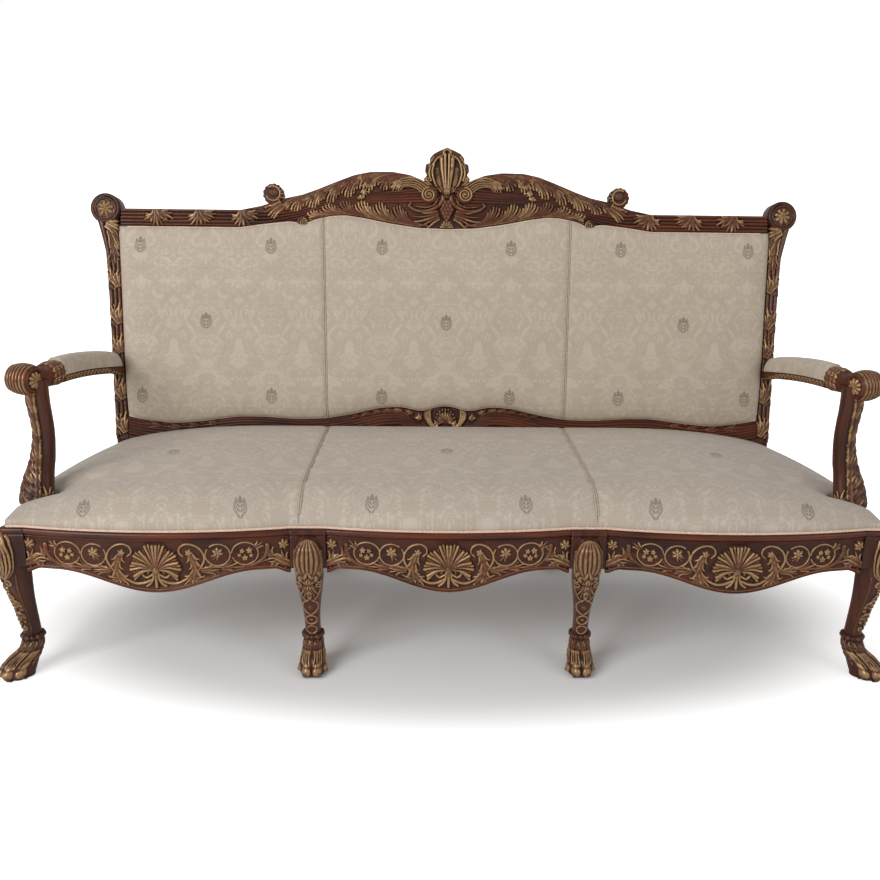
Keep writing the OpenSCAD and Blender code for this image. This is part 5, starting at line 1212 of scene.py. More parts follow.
def arm_rings(t, wide, tall, lift, power, columns=120):
    """Sections of the arm: widths and heights are given for every place along it."""
    a = np.linspace(0, 2 * np.pi, columns, endpoint=False)
    mid = arm_line(t) + np.stack([0 * t, 0 * t, lift + 0 * t], axis=-1)
    skew = np.radians(12 * t)
    across = np.stack([np.cos(skew), np.sin(skew), 0 * t], axis=-1)
    e = power + 0 * t[:, None]
    cx, cz = power_round(np.cos(a)[None], e), power_round(np.sin(a)[None], e)
    p = mid[:, None] + across[:, None] * (wide[:, None] / 2 * cx)[..., None]
    p[..., 2] += tall[:, None] / 2 * cz
    return p


def carve_skin(p, pattern):
    """Lets a pattern push a closed skin outward; it is drawn over the lengths along and round it."""
    along = np.concatenate([[0], np.cumsum(np.linalg.norm(np.diff(p.mean(1), axis=0), axis=-1))])
    step = np.linalg.norm(p - np.roll(p, 1, axis=1), axis=-1)
    step[:, 0] = 0
    round_it = np.cumsum(step, axis=1)
    c = Carving(np.broadcast_to(along[:, None], round_it.shape).copy(), round_it)
    pattern(c)
    n = face_normals(p)
    mid = p.mean(1, keepdims=True)
    n *= np.sign((n * (p - mid)).sum(-1).mean())
    gold, hollow = c.shades(3, 1.4)
    skin = {"p": p + n * c.h[..., None], "wrap": (False, True), "gild": gold, "hollow": hollow}
    return [skin] + end_caps(skin)


def strip_pattern(c):
    """A running leaf along both sides of the arm's wood."""
    total, last = float(c.v.max()), float(c.u.max())
    for share in (0.0, 0.5, 1.0):
        v = share * total
        for k in range(int(last / 11)):
            u, w = 6 + 11 * k, 1 if k % 2 else -1
            c.leaf(bent((u, v - w * 5), (u + 6, v - w * 1), (u + 13, v + w * 5)), 4.2, 2, 3.0, 0.95, base=0.6)
            c.dome(u + 4, v + w * 4.5, 2.4, 2.4, 2.4, 0, 0.8)


def collar_pattern(c):
    total = float(c.v.max())
    for k in range(14):
        v = total * (k + 0.5) / 14
        c.leaf(bent((44, v), (24, v + 1), (3, v)), 9, 4, 4.0, 0.9 if k % 2 else 0.65, base=0.4)
        c.dome(2.5, v, 3.4, 3.8, 3.4, 0, 1.0)


t = np.linspace(0, 0.83, 300)
grow = mix(0.66, 1, ease(t / 0.3))
arm = carve_skin(arm_rings(t, 50 * grow, 20 + 0 * t, 0.0, 4.0), strip_pattern)
t = np.linspace(0.822, 1.0, 70)
wide = np.interp(t, [0.822, 0.836, 0.87, 0.9, 0.93, 1.0], [50, 53, 51, 48, 45, 42])
tall = np.interp(t, [0.822, 0.836, 0.87, 0.9, 0.93, 1.0], [50, 54, 53, 51, 46, 44])
lift = np.interp(t, [0.822, 0.89, 0.93, 1.0], [17, 15, 9, 6])
arm += carve_skin(arm_rings(t, wide, tall, lift, 2.4, 150), collar_pattern)


def drum_skin(rows, columns):
    """A cushion-shaped drum with reeds round it."""
    t = np.linspace(0, 1, rows)
    a = np.linspace(0, 2 * np.pi, columns, endpoint=False)
    reed = np.abs(np.sin(np.pi * t * 7)) ** 0.75
    crown = 1 - 0.16 * (2 * t - 0.9) ** 2
    r = (ARM_R - 3.6) * crown + 3.6 * reed
    r[0], r[-1] = r[0] * 0.93, r[-1] * 0.93
    along = mix(-DRUM_W / 2, DRUM_W / 2 + 4, t)
    x = ARM_X + along[:, None] * math.cos(DRUM_TURN) - r[:, None] * np.cos(a) * math.sin(DRUM_TURN)
    y = ARM_Y + along[:, None] * math.sin(DRUM_TURN) + r[:, None] * np.cos(a) * math.cos(DRUM_TURN)
    z = ARM_Z + r[:, None] * np.sin(a)
    skin = {"p": np.stack([x, y, z], axis=-1), "wrap": (False, True),
            "hollow": (1 - reed[:, None]) ** 3 + 0 * x,
            "gild": np.clip(reed[:, None] * 0.9 - 0.2, 0, 1) + 0 * x}
    return [skin] + end_caps(skin)


def drum_face(x, y, s):
    """A point in front of the drum's inner end: across, out of it when y is negative, and up."""
    c, n = math.cos(DRUM_TURN), math.sin(DRUM_TURN)
    deep = DRUM_W / 2 - y
    return np.stack([ARM_X - deep * c + x * n, ARM_Y - deep * n - x * c, ARM_Z + s], axis=-1)


def daisy(c):
    c.strand(curl(0, 0, 26, 26, 0, 360, 60), 3.2, 3.2, 1.0, 0.3)
    c.flower(0, 0, 21, 9, 6.0, 1.0, 0.2, 1.5)
    c.dome(0, 0, 5.5, 5.5, 6, 0, 0.9, 1)


arm += drum_skin(110, 170)
arm.append(disc(0, 0, 32.0, daisy, -0.5, 6.0, 50, 140, drum_face))
twins("carved_arm", arm, wood_along, "arm")

# %% Arm posts
POST = np.array([[0, 1.19, .92, 0, 0], [.06, 1.19, .92, .04, .1], [.12, 1.17, .9, .12, .26],
                 [.18, 1.12, .86, .2, .45], [.25, 1.04, .81, .35, .68], [.31, .96, .77, .5, .85],
                 [.38, .88, .73, .75, .97], [.47, .8, .69, .95, 1], [.58, .74, .65, 1.15, .86],
                 [.69, .71, .63, 1.25, .6], [.8, .72, .64, 1.2, .32], [.91, .75, .68, 1.06, .1],
                 [1, .76, .72, 1, 0]])
POST_LOW, POST_TOP = (992.0, 158.0, RAIL_TOP + 0.3), (971.0, 178.0, 649.7)


def post_pattern(c):
    """A leaf-edged rib up the front and outer face; the inner face stays plain."""
    total, tall = float(c.v.max()), float(c.u.max())
    rib = total * 0.22
    c.strand(bent((0, rib), (tall * 0.25, rib), (tall * 0.6, rib), (tall, rib)), 7.5, 5.5, 0.8, 0.55, 1.8)
    for k in range(15):
        u = 2 + k * tall / 16
        c.spray(1, (u, rib - 5), 12, 40, 30, 3, 3.0, 1.2 - 0.3 * (k % 3), 3.6, 6, -14)
    for k in range(11):
        u = 2 + k * tall / 11.4
        c.spray(1, (u, rib + 8), 38, 46, 40, 4, 4.8, 0.95 - 0.25 * (k % 2), 1.6, 10, 24)
        c.dome(u + 14, rib + 34, 13, 9, 6, 3, 0.5, 1.0)
        c.spray(1, (u + 8, rib + 30), 46, 40, 44, 3, 4.6, 0.7, 1.4, 10, 18)
    for k in range(7):
        c.spray(1, (4, total * (0.10 + 0.09 * k)), 4, 46, 30, 4, 3.8, 0.85, 2.0, 12)


rows = np.linspace(0, 1.16, 260)
share = np.stack([np.interp(rows, POST[:, 0], POST[:, k]) for k in range(5)], axis=1)
for k in range(1, 5):
    share[8:-8, k] = np.convolve(share[:, k], np.ones(11) / 11, "same")[8:-8]
a = np.linspace(-np.pi, np.pi, 190, endpoint=False)
e = np.full((len(rows), 1), 2.6)
x = mix(POST_LOW[0], POST_TOP[0], share[:, 3])[:, None] + 31 * share[:, 1:2] * power_round(np.cos(a)[None], e)
y = (mix(POST_LOW[1], POST_TOP[1], np.minimum(rows, 1)) + 16 * share[:, 4])[:, None]
y = y + 30 * share[:, 2:3] * power_round(np.sin(a)[None], e)
z = np.repeat(mix(POST_LOW[2], POST_TOP[2], rows)[:, None], len(a), 1)
post = carve_skin(np.stack([x, y, z], axis=-1), post_pattern)
post[0]["p"][..., 2] = np.maximum(post[0]["p"][..., 2], POST_LOW[2])
twins("carved_post", post, wood_up, "arm_post")
# %% [markdown]
# ## Upholstery
# The cover is a cream damask: a satin figure on a duller ground of nearly the same colour, with small
# taupe sprigs in rows. Every pad stores where its cloth lies, in millimetres from the middle of its
# own panel, and the finish draws the figure and the sprigs from that.

# %% Shared effect: damask figure
damask, n, given, result = new_group("damask figure", [("Place", "Vector", None)],
                                     [("Figure", "Float"), ("Weave", "Float")])
apart = n.add("ShaderNodeSeparateXYZ", Vector=given["Place"]).outputs
mirrored = n.math("PINGPONG", apart["X"], 89.0)
folded = n.add("ShaderNodeCombineXYZ", X=mirrored, Y=apart["Y"], Z=0.0).outputs[0]
leafy = n.noise(folded, 0.019, 1.6, 0.5, 2.6)
veins = n.noise(folded, 0.05, 1.0, 0.5, 1.4)
line = n.ramp(n.math("ABSOLUTE", n.minus(veins, 0.5)), 0.05, 0.02)
outline = n.ramp(n.math("ABSOLUTE", n.minus(leafy, 0.44)), 0.016, 0.006)
body = n.times(n.ramp(leafy, 0.5, 0.54), n.minus(1.0, n.times(line, 0.75)))
n.put(result["Figure"], n.most(body, outline))
n.put(result["Weave"], n.noise(n.stretched(given["Place"], (1.0, 0.16, 1.0)), 0.9, 2.0))

# %% Shared effect: woven sprig
sprig, n, given, result = new_group("woven sprig", [("Across", "Float", 0.0), ("Up", "Float", 0.0)],
                                    [("Mask", "Float")])
x, y = n.math("ABSOLUTE", given["Across"]), given["Up"]


def oval(cx, cy, rx, ry):
    """More than 0 inside an oval, 1 at its middle."""
    a = n.math("POWER", n.math("DIVIDE", n.minus(x, cx), rx), 2.0)
    b = n.math("POWER", n.math("DIVIDE", n.minus(y, cy), ry), 2.0)
    return n.minus(1.0, n.plus(a, b))


rise = n.minus(y, n.times(n.times(x, x), 0.105))
petals = n.ramp(n.math("PINGPONG", n.plus(rise, 60.0), 4.4), 0.9, 2.2)
leaves = n.times(n.ramp(oval(0.0, -2.0, 16.5, 20.5), 0.02, 0.1), petals)
leaves = n.times(leaves, n.ramp(x, 0.4, 1.4))
tips = n.ramp(oval(9.5, 10.5, 3.2, 7.5), 0.05, 0.4)
bud = n.ramp(oval(0.0, 14.0, 4.6, 9.5), 0.05, 0.35)
n.put(result["Mask"], n.most(n.most(leaves, tips), bud))


# %% Cover fabrics
def cover_cloth(name, ground, satin, taupe, across=None, along=None):
    """Damask cloth; with sprigs at the middle of a panel and at four places round it."""
    n, finish = new_material(name, Sheen_Weight=0.18, Sheen_Roughness=0.45)
    place = n.attribute("cloth")["Vector"]
    woven = n.group(damask, Place=place)
    figure, weave = woven["Figure"], woven["Weave"]
    mottle = n.ramp(n.noise(place, 0.011, 2.0), 0.35, 0.7)
    colour = n.mix(n.times(mottle, 0.16), n.mix(n.times(figure, 0.62), ground, satin), taupe)
    if across:
        apart = n.add("ShaderNodeSeparateXYZ", Vector=place).outputs
        u, v = apart["X"], apart["Y"]
        corner_u = n.minus(n.math("ABSOLUTE", u), across)
        corner_v = n.times(n.minus(n.math("ABSOLUTE", v), along), n.math("SIGN", v))
        mask = n.most(n.group(sprig, Across=u, Up=v)[0], n.group(sprig, Across=corner_u, Up=corner_v)[0])
        colour = n.mix(n.times(mask, 0.72), colour, rgb(102, 92, 80))
    return finish(Base_Color=n.mix(n.times(weave, 0.12), colour, rgb(128, 116, 102)),
                  Roughness=n.minus(0.82, n.times(figure, 0.2)),
                  Normal=n.bump(0.25, 0.0008, n.plus(n.times(figure, 0.5), weave)))


SEAT_SPRIGS, BACK_SPRIGS = (178.0, 312.0), (178.0, 206.0)
# Painted shade: the seat's colours are a little darker than those of the back and the arms, though all are
# the same damask.
seat_cloth_painted_shade = cover_cloth("seat damask", rgb(172, 159, 145), rgb(190, 179, 166),
                         rgb(148, 136, 122), *SEAT_SPRIGS)
back_cloth = cover_cloth("back damask", rgb(176, 161, 144), rgb(193, 180, 163),
                         rgb(150, 137, 121), *BACK_SPRIGS)
arm_cloth = cover_cloth("arm damask", rgb(178, 164, 148), rgb(196, 184, 169), rgb(150, 138, 122))


def cord_cloth(name, light, dark):
    n, finish = new_material(name, Roughness=0.8)
    twist = n.noise(n.where(), 420.0, 2.0)
    return finish(Base_Color=n.mix(n.ramp(twist, 0.4, 0.65), dark, light), Normal=n.bump(0.4, 0.0006, twist))


gimp_cloth = cord_cloth("gimp", rgb(226, 200, 180), rgb(188, 160, 140))
welt_cloth = cord_cloth("welt", rgb(186, 172, 154), rgb(156, 143, 126))
print("cloths ready")

# %% [markdown]
# Each pad starts as the drawing's own form: a grid that follows the rails, with a crown in the middle,
# rolled edges and a dip along each seam. A short cloth simulation then blows the cover up a little
# from inside, while its edges stay tacked down, so that it gets the fullness of real stuffing. The
# whole movement is scaled down to a few millimetres, so the pad still fits its frame.

# %% Pads
PAD_FOOT, SEAT_CROWN, BACK_SWELL, SEAM_X, PAD_GAP = 390.6, 78.0, 30.0, 345.0, 0.4
SEAM_LEAN, SEAT_MID, BACK_MID = 16.0, 332.0, 324.0
WALLS, SIM_FRAMES = 2, 20
DOWN = (0, 0, -1)


def swell(d, reach, power):
    return (1 - (1 - np.clip(d / reach, 0, 1)) ** 2) ** power


def front_line(x):
    a = np.abs(x)
    outer = np.where((a > OUTER_START) & (a < OUTER_END), bow_depth(a - OUTER_MID, OUTER_HALF, OUTER_BOW), 0)
    return np.where(a < MIDDLE_HALF, bow_depth(x, MIDDLE_HALF, MIDDLE_BOW), outer)


SIDE_A, SIDE_B, SIDE_BOW = np.array([1019.0, 48.0]), np.array([920.0, 590.0]), 28.0
side_chord = SIDE_B - SIDE_A
side_span = float(np.hypot(*side_chord))
side_radius = (side_span ** 2 / 4 + SIDE_BOW ** 2) / (2 * SIDE_BOW)
side_way = np.array([side_chord[1], -side_chord[0]]) / side_span
side_centre = (SIDE_A + SIDE_B) / 2 - side_way * (side_radius - SIDE_BOW)


def side_edge(y, proud):
    return side_centre[0] + np.sqrt((side_radius + proud) ** 2 - (y - side_centre[1]) ** 2)


def side_at(y):
    return side_edge(y, -5) - 64 * ease((76 - np.abs(y - 158)) / 44)


def with_border(grid):
    return np.pad(grid, ((WALLS, WALLS), (WALLS, WALLS), (0, 0)), mode="edge")


def walled(face, foot):
    """Adds walls round a face grid that run down to its foot, so that the edges can be tacked."""
    p, foot = with_border(face), with_border(foot)
    for k, share in ((1, 0.5), (0, 1.0)):
        for edge in (np.s_[k, :], np.s_[-1 - k, :], np.s_[:, k], np.s_[:, -1 - k]):
            p[edge] = mix(p[edge], foot[edge], share)
    return p


def cushion(name, p, cloth, material, node, inside, mirror_too=False, blow=4.0, cap=5.0):
    """Makes a pad, blows it up a little and adds a finer level of faces."""
    grown = p
    face = p[WALLS:-WALLS, WALLS:-WALLS]
    base = make_mesh(name + "_start", [{"p": face, "out": -np.array(inside, float)}],
                     material)
    rest = np.array([v.co for v in base.data.vertices])
    held = base.vertex_groups.new(name="tacked")
    nu, nv = face.shape[:2]
    for i in range(nu):
        for j in range(nv):
            edge = min(i, j, nu - 1 - i, nv - 1 - j)
            if edge < 3:
                held.add([i * nv + j], 1.0 if edge < 2 else 0.5, "REPLACE")
    sim = base.modifiers.new("stuffing", "CLOTH")
    s = sim.settings
    s.quality, s.mass, s.time_scale = 4, 0.3, 1.0
    s.tension_stiffness = s.compression_stiffness = 25
    s.bending_stiffness = 2.0
    s.use_pressure, s.uniform_pressure_force = True, blow
    s.vertex_group_mass = "tacked"
    s.effector_weights.gravity = 0
    sim.point_cache.frame_start, sim.point_cache.frame_end = 1, SIM_FRAMES
    scene = bpy.context.scene
    for frame_number in range(1, SIM_FRAMES + 1):
        scene.frame_set(frame_number)
    seen = base.evaluated_get(bpy.context.evaluated_depsgraph_get())
    moved = np.array([v.co for v in seen.data.vertices]) - rest
    scene.frame_set(1)
    far = 1000 * float(np.linalg.norm(moved, axis=1).max())
    moved *= min(1.0, cap / max(far, 1e-9))
    bpy.data.objects.remove(base)
    print(name, "blown up by %.1f mm at most, kept %.1f mm" % (far, min(far, cap)))
    grown = p + np.pad(moved.reshape(face.shape) * 1000, ((WALLS, WALLS), (WALLS, WALLS), (0, 0)))
    fine, cloth = refine(grown), refine(cloth)
    for side, mirror in SIDES if mirror_too else (("middle", False),):
        flat = {"p": floor_of(fine, inside), "wrap": (False, True), "out": np.array(inside, float)}
        grids = [{"p": fine, "cloth": cloth, "out": -np.array(inside, float)}, flat]
        pad = make_mesh(name + "_" + side, grids, material, (node + "_" + side,), mirror)


def refine(p):
    """Twice as many rows and columns, on a smooth surface through the old ones."""
    for axis in (0, 1):
        p = np.swapaxes(p, 0, axis)
        q = np.concatenate([2 * p[:1] - p[1:2], p, 2 * p[-1:] - p[-2:-1]])
        between = (9 * (q[1:-2] + q[2:-1]) - q[:-3] - q[3:]) / 16
        out = np.empty((2 * len(p) - 1,) + p.shape[1:])
        out[::2], out[1::2] = p, between
        p = np.swapaxes(out, 0, axis)
    return p


def floor_of(p, inside):
    """A flat underside inside the lowest edge of a pad."""
    ring = np.concatenate([p[:-1, 0], p[-1, :-1], p[:0:-1, -1], p[0, :0:-1]])
    mid = ring.mean(0)
    return np.stack([ring, mix(ring, mid, 0.5), mix(ring, mid, 0.98)])


def pucker(d, along, reach=70.0, size=0.9):
    """Small folds that run away from a seam or a tacked edge."""
    folds = np.sin(along / 13 + 2 * np.sin(along / 61)) + 0.6 * np.sin(along / 7.3 + 1)
    return size * np.exp(-d / reach * 2.2) * folds


def spaced(count):
    """Shares from 0 to 1 that lie closer together at both ends."""
    t = np.linspace(0, 1, count)
    return mix(t, ease(t), 0.35)


def seat_grid(part, nu, nv):
    u, v = spaced(nu)[:, None], spaced(nv)[None]
    back_y = SEAT_DEPTH - 20 * math.sin(RAKE) - 0.3
    seam = SEAM_X - SEAM_LEAN * v
    if part == 0:
        x0, x1 = -seam + PAD_GAP, seam - PAD_GAP
    else:
        x0, x1 = seam + PAD_GAP, side_at(back_y * v)
    x = mix(x0, x1, u)
    front = front_line(x)
    y = mix(front + 3, back_y, v)
    rise = swell(y - front - 3, 110, 0.7)
    near = np.minimum(np.abs(np.abs(x) - seam), 14) / 14
    out = 1 if part == 0 else swell(side_at(y) - x, 420, 0.7)
    crown = mix(SEAT_CROWN, 0.86 * SEAT_CROWN, v * v)
    z = PAD_FOOT + crown * (0.18 + 0.82 * rise * out) - 5 * (1 - near) ** 2
    z = z + pucker(np.abs(np.abs(x) - seam), y) + pucker(y - front, x, 50, 0.8) * rise
    middle = 0 if part == 0 else mix(655.0, 700.0, y / SEAT_MID)
    lead = -2 if part == 0 else 8
    cloth = np.stack([x - middle, y - SEAT_MID + lead * (1 - v)], axis=-1)
    return np.stack([x, y, z], axis=-1), np.stack([x, y, PAD_FOOT + 0 * z], axis=-1), cloth


def seam_at(s):
    return SEAM_X - SEAM_LEAN * mix(0.9, 0.3, (s - WAVE_FOOT) / (SLOPE_LOW - WAVE_FOOT))


def back_depth(x, s, outer):
    near = np.minimum(np.abs(np.abs(x) - seam_at(s)), 14) / 14
    q = swell(s - wave_high(x), 60, 0.5) * swell(crest_low(x) - s, 60, 0.5) * outer
    fold = pucker(np.abs(np.abs(x) - seam_at(s)), s) + pucker(crest_low(x) - s, x, 60, 0.7) * q
    return -1 - BACK_SWELL * q + 5 * (1 - near) ** 2 - fold * 0.8


def back_grid(part, nu, nv):
    u, w = spaced(nu)[:, None], spaced(nv)[None]
    rough_s = mix(WAVE_FOOT, SLOPE_LOW, w)
    seam = seam_at(rough_s)
    if part == 0:
        x0, x1 = -seam + PAD_GAP, seam - PAD_GAP
    else:
        x0, x1 = seam + PAD_GAP, stile_low(rough_s - 14) - 0.2
    x = mix(x0, x1, u)
    s = mix(wave_high(x) + 0.2, crest_low(x) - 0.2, w)
    outer = 1 if part == 0 else swell(stile_low(s) - x, 60, 0.5)
    face = back_point(x, back_depth(x, s, outer), s)
    middle = 0 if part == 0 else 661.0
    cloth = np.stack([x - middle, s - BACK_MID], axis=-1)
    return face, back_point(x, 7.3 + 0 * x, s), cloth


inward = (0, math.cos(RAKE), -math.sin(RAKE))
for part, columns in ((0, 78), (1, 78)):
    face, foot, cloth = seat_grid(part, columns, 66)
    cushion("seat_cushion", walled(face, foot), with_border(cloth), seat_cloth_painted_shade, "seat_pad", DOWN, part == 1)
for part, columns in ((0, 78), (1, 66)):
    face, foot, cloth = back_grid(part, columns, 62)
    cushion("back_cushion", walled(face, foot), with_border(cloth), back_cloth, "back_pad", inward,
            part == 1, cap=4)


def arm_pad_grid(nu, nv):
    rows = np.array([[.02, .52, .5], [.032, .62, .74], [.07, .7, .88], [.16, .84, .96], [.3, .96, 1],
                     [.45, 1, 1],
                     [.62, 1, 1], [.8, 1, .99], [.9, .98, .96], [.958, .94, .9]])
    w = mix(0.02, 0.952, np.linspace(0, 1, nu))
    wide, tall = (np.interp(w, rows[:, 0], rows[:, k]) for k in (1, 2))
    for k in range(3):
        wide[1:-1] = (wide[:-2] + wide[1:-1] * 2 + wide[2:]) / 4
        tall[1:-1] = (tall[:-2] + tall[1:-1] * 2 + tall[2:]) / 4
    t = w * COLLAR
    mid = arm_line(t)
    mid[:, 2] += 10.2
    a = np.linspace(np.pi, 0, nv)
    across = np.stack([np.cos(np.radians(12 * t)), np.sin(np.radians(12 * t)), 0 * t], axis=-1)
    e = np.full((nu, 1), 2.4)
    p = mid[:, None] + across[:, None] * (27 * wide[:, None] * power_round(np.cos(a)[None], e))[..., None]
    p[..., 2] += 44 * tall[:, None] * power_round(np.sin(a)[None], e)
    cloth = np.stack(np.broadcast_arrays(60 * a[None], 420 * w[:, None]), axis=-1)
    low = mid[:, 2][:, None] + 0 * a[None]
    p = np.pad(p, ((1, 1), (0, 0), (0, 0)), mode="edge")
    p[0, :, 2], p[-1, :, 2] = low[0], low[-1]
    return p, np.pad(cloth, ((1, 1), (0, 0), (0, 0)), mode="edge")


p, cloth = arm_pad_grid(74, 30)
cushion("arm_cushion", p, cloth, arm_cloth, "arm_pad", DOWN, True, blow=2.0, cap=2)

# %% [markdown]
# Gimp, a flat braid, covers the tacks where the cloth meets the wood, and a thin double welt lies in
# each seam. Both are swept along lines worked out from the same outlines as the pads.

# %% Gimp and welts
def braid(path, up, wide, tall, bumps=4.5):
    """A half-round braid along a path; up is the way it stands off the cloth."""
    path = np.asarray(path, float)
    run = np.concatenate([[0], np.cumsum(np.linalg.norm(np.diff(path, axis=0), axis=1))])
    steps = np.arange(0, run[-1], 2.2)
    p = np.stack([np.interp(steps, run, path[:, k]) for k in range(3)], axis=1)
    up = np.asarray(up, float)
    up = np.tile(up, (len(p), 1))
    ahead = np.gradient(p, axis=0)
    ahead /= np.linalg.norm(ahead, axis=1, keepdims=True)
    beside = np.cross(ahead, up)
    beside /= np.linalg.norm(beside, axis=1, keepdims=True)
    up = np.cross(beside, ahead)
    a = np.linspace(0, 2 * np.pi, 12, endpoint=False)
    twist = 1 + 0.12 * np.sin(steps / bumps * 2 * np.pi)[:, None]
    out = p[:, None] + beside[:, None] * (wide / 2 * np.cos(a) * twist)[..., None]
    out = out + up[:, None] * (tall / 2 * np.sin(a) * twist)[..., None]
    skin = {"p": out, "wrap": (False, True)}
    return [skin] + end_caps(skin)


lean_out = -np.array(inward)
across = np.linspace(-880, 880, 400)
upward = np.linspace(0.03, 0.97, 120)
top_edge = back_point(across, -7.5 + 0 * across, crest_low(across) - 4.5)
low_edge = back_point(across, -5.0 + 0 * across, wave_high(across) + 3.5)
tall_s = mix(wave_high(884.0), crest_low(895.0), upward)
gimp = braid(top_edge, lean_out, 8, 6) + braid(low_edge, lean_out, 6, 4.5)
for way in (-1, 1):
    side_path = back_point(way * (stile_low(tall_s) - 4), -5.5 + 0 * tall_s, tall_s)
    gimp += braid(side_path, lean_out, 7, 5)
make_mesh("back_gimp", gimp, gimp_cloth)
across = np.linspace(-1010, 1010, 700)
seat_front = np.stack([across, front_line(across) + 1.0, np.full_like(across, RAIL_TOP + 3.2)], axis=1)
gimp = braid(seat_front, (0, 0, 1), 7, 6)
deep = np.concatenate([np.linspace(6, 84, 30), np.linspace(232, 578, 90)])
for way in (-1, 1):
    for part in (deep[:30], deep[30:]):
        side_path = np.stack([way * (side_at(part) + 1.0), part, np.full_like(part, RAIL_TOP + 3.2)], axis=1)
        gimp += braid(side_path, (0, 0, 1), 6, 6)
make_mesh("seat_gimp", gimp, gimp_cloth)

welts = []
for way in (-1, 1):
    s = mix(float(wave_high(SEAM_X - 12)) + 3, float(crest_low(SEAM_X - 6)) - 3, np.linspace(0, 1, 160))
    for off in (-2.2, 2.2):
        x = way * seam_at(s) + off
        line = back_point(x, back_depth(way * seam_at(s), s, 1) - 3.6, s)
        welts += braid(line, lean_out, 4.0, 4.0, 3)
    v = np.linspace(0.012, 0.99, 160)
    y = mix(3.0, SEAT_DEPTH - 5, v)
    rise = swell(y - 3, 110, 0.7)
    z = PAD_FOOT + mix(SEAT_CROWN, 0.86 * SEAT_CROWN, v * v) * (0.18 + 0.82 * rise) - 5
    for off in (-2.2, 2.2):
        x = way * (SEAM_X - SEAM_LEAN * v) + off
        welts += braid(np.stack([x, y, z + 4.2], axis=1), (0, -0.2, 1), 4.0, 4.0, 3)
make_mesh("seam_welts", welts, welt_cloth)
print("pads, gimp and welts made")
# %% [markdown]
# ## The sides that are seldom seen
# The back has a plain cover on its outside, and jute webs carry the pads. The hidden frame keeps the
# model's own pieces, in plain beech with steel screws, and the side rails are show wood.

# %% Outside cover of the back
outside_cloth = cover_cloth("outside cloth", rgb(176, 164, 147), rgb(190, 179, 162), rgb(150, 138, 122))
low_s, high_s = -20.0, SLOPE_LOW + 10.0
v = np.linspace(0, 1, 60)[None]
u = np.linspace(-1, 1, 160)[:, None]
x = u * (stile_low(mix(0, SLOPE_LOW, v)) - 2.5)
high_s = np.maximum(high_s, crest_low(x) + 6)
s = mix(low_s, high_s, v)
edge = np.minimum((1 - np.abs(u)) * 884, np.minimum(s - low_s, high_s - s))
y = 41.0 + 2.5 * swell(edge, 90, 0.6) + pucker(edge, x + s, 40, 0.3)
face = back_point(x, y + 0 * x, s + 0 * x)
cloth = np.stack(np.broadcast_arrays(x, s - BACK_MID), axis=-1)
face = np.pad(face, ((1, 1), (1, 1), (0, 0)), mode="edge")
for edge in (np.s_[0, :], np.s_[-1, :], np.s_[:, 0], np.s_[:, -1]):
    face[edge] += (38.2 - 41.0) * np.array([0, math.cos(RAKE), -math.sin(RAKE)])
cloth = np.pad(cloth, ((1, 1), (1, 1), (0, 0)), mode="edge")
cover = make_mesh("outside_cover", [{"p": face, "cloth": cloth, "out": np.array(inward)}], outside_cloth,
                  ("outside_back",))
s_line = np.linspace(low_s + 3, SLOPE_LOW + 7, 140)
x_line = np.linspace(-880, 880, 400)
edging = []
for level in (low_s + 3 + 0 * x_line, np.maximum(SLOPE_LOW + 7, crest_low(x_line) + 3)):
    edging += braid(back_point(x_line, 41.5 + 0 * x_line, level), inward, 7, 4)
for way in (-1, 1):
    half = stile_low(np.maximum(s_line, 0)) - 5.5
    edging += braid(back_point(way * half, 41.5 + 0 * s_line, s_line), inward, 7, 4)
make_mesh("outside_gimp", edging, gimp_cloth)

# %% Webbing
n, finish = new_material("jute webbing", Roughness=0.9)
cross = n.noise(n.stretched(n.where(), (0.25, 1.0, 1.0)), 900.0, 2.0)
jute = finish(Base_Color=n.mix(n.ramp(cross, 0.35, 0.7), rgb(120, 94, 62), rgb(172, 142, 100)),
              Normal=n.bump(0.5, 0.0006, cross))
WEB_W, WEB_STEP, WEB_T, WEB_WAVE = 50.0, 76.0, 1.0, 0.35


def web(a, b, up):
    """A flat band from a to b that waves a little as it passes over and under the others."""
    t = np.linspace(0, 1, 60)[:, None]
    length = np.linalg.norm(np.subtract(b, a))
    wave = WEB_WAVE * np.sin(np.pi * t * length / WEB_STEP)
    line = np.array(a) * (1 - t) + np.array(b) * t + wave * np.array(up)
    return braid(line, up, WEB_W, WEB_T, 1e6)[:1]


def webs(name, bands, node):
    piece = make_mesh(name, [g for band in bands for g in web(*band)], jute, node)


rows = [WEB_W + WEB_STEP * k for k in range(7)]
bands = [((-side_edge(y, -24), y, RAIL_TOP + 0.6), (side_edge(y, -24), y, RAIL_TOP + 0.6), (0, 0, 1))
         for y in rows if abs(y - 158) > 55]
webs("seat_webs_across", bands, ("seat_webbing",))
bands = [((WEB_STEP * k, 16, RAIL_TOP + 1.9), (WEB_STEP * k, 572, RAIL_TOP + 1.9), (0, 0, 1))
         for k in range(-10, 11)]
webs("seat_webs_along", bands, ())
bands = []
for k in range(4):
    s = 154.0 + 114 * k
    a = back_point(np.array(-stile_low(s)), np.array(9.4), np.array(s))
    bands.append((a, a * np.array([-1, 1, 1]), lean_out))
webs("back_webs_across", bands, ("back_webbing",))
bands = []
for k in range(-10, 11):
    x = WEB_STEP * k
    edge = np.array([x - 25, x, x + 25])
    low, high = wave_high(edge).max() + 1, crest_low(edge).min() - 1
    bands.append((back_point(x, 8.2, low), back_point(x, 8.2, high), lean_out))
webs("back_webs_along", bands, ())


# %% Finishes of the model's own pieces
def plain_wood(name, along):
    n, finish = new_material(name)
    wood = n.group(grain, Along=along, Dark=rgb(150, 112, 76), Light=rgb(196, 158, 116))
    return finish(Base_Color=wood["Color"], Roughness=n.plus(n.times(wood["Pores"], 0.2), 0.5),
                  Normal=n.bump(0.2, 0.0006, wood["Pores"]))


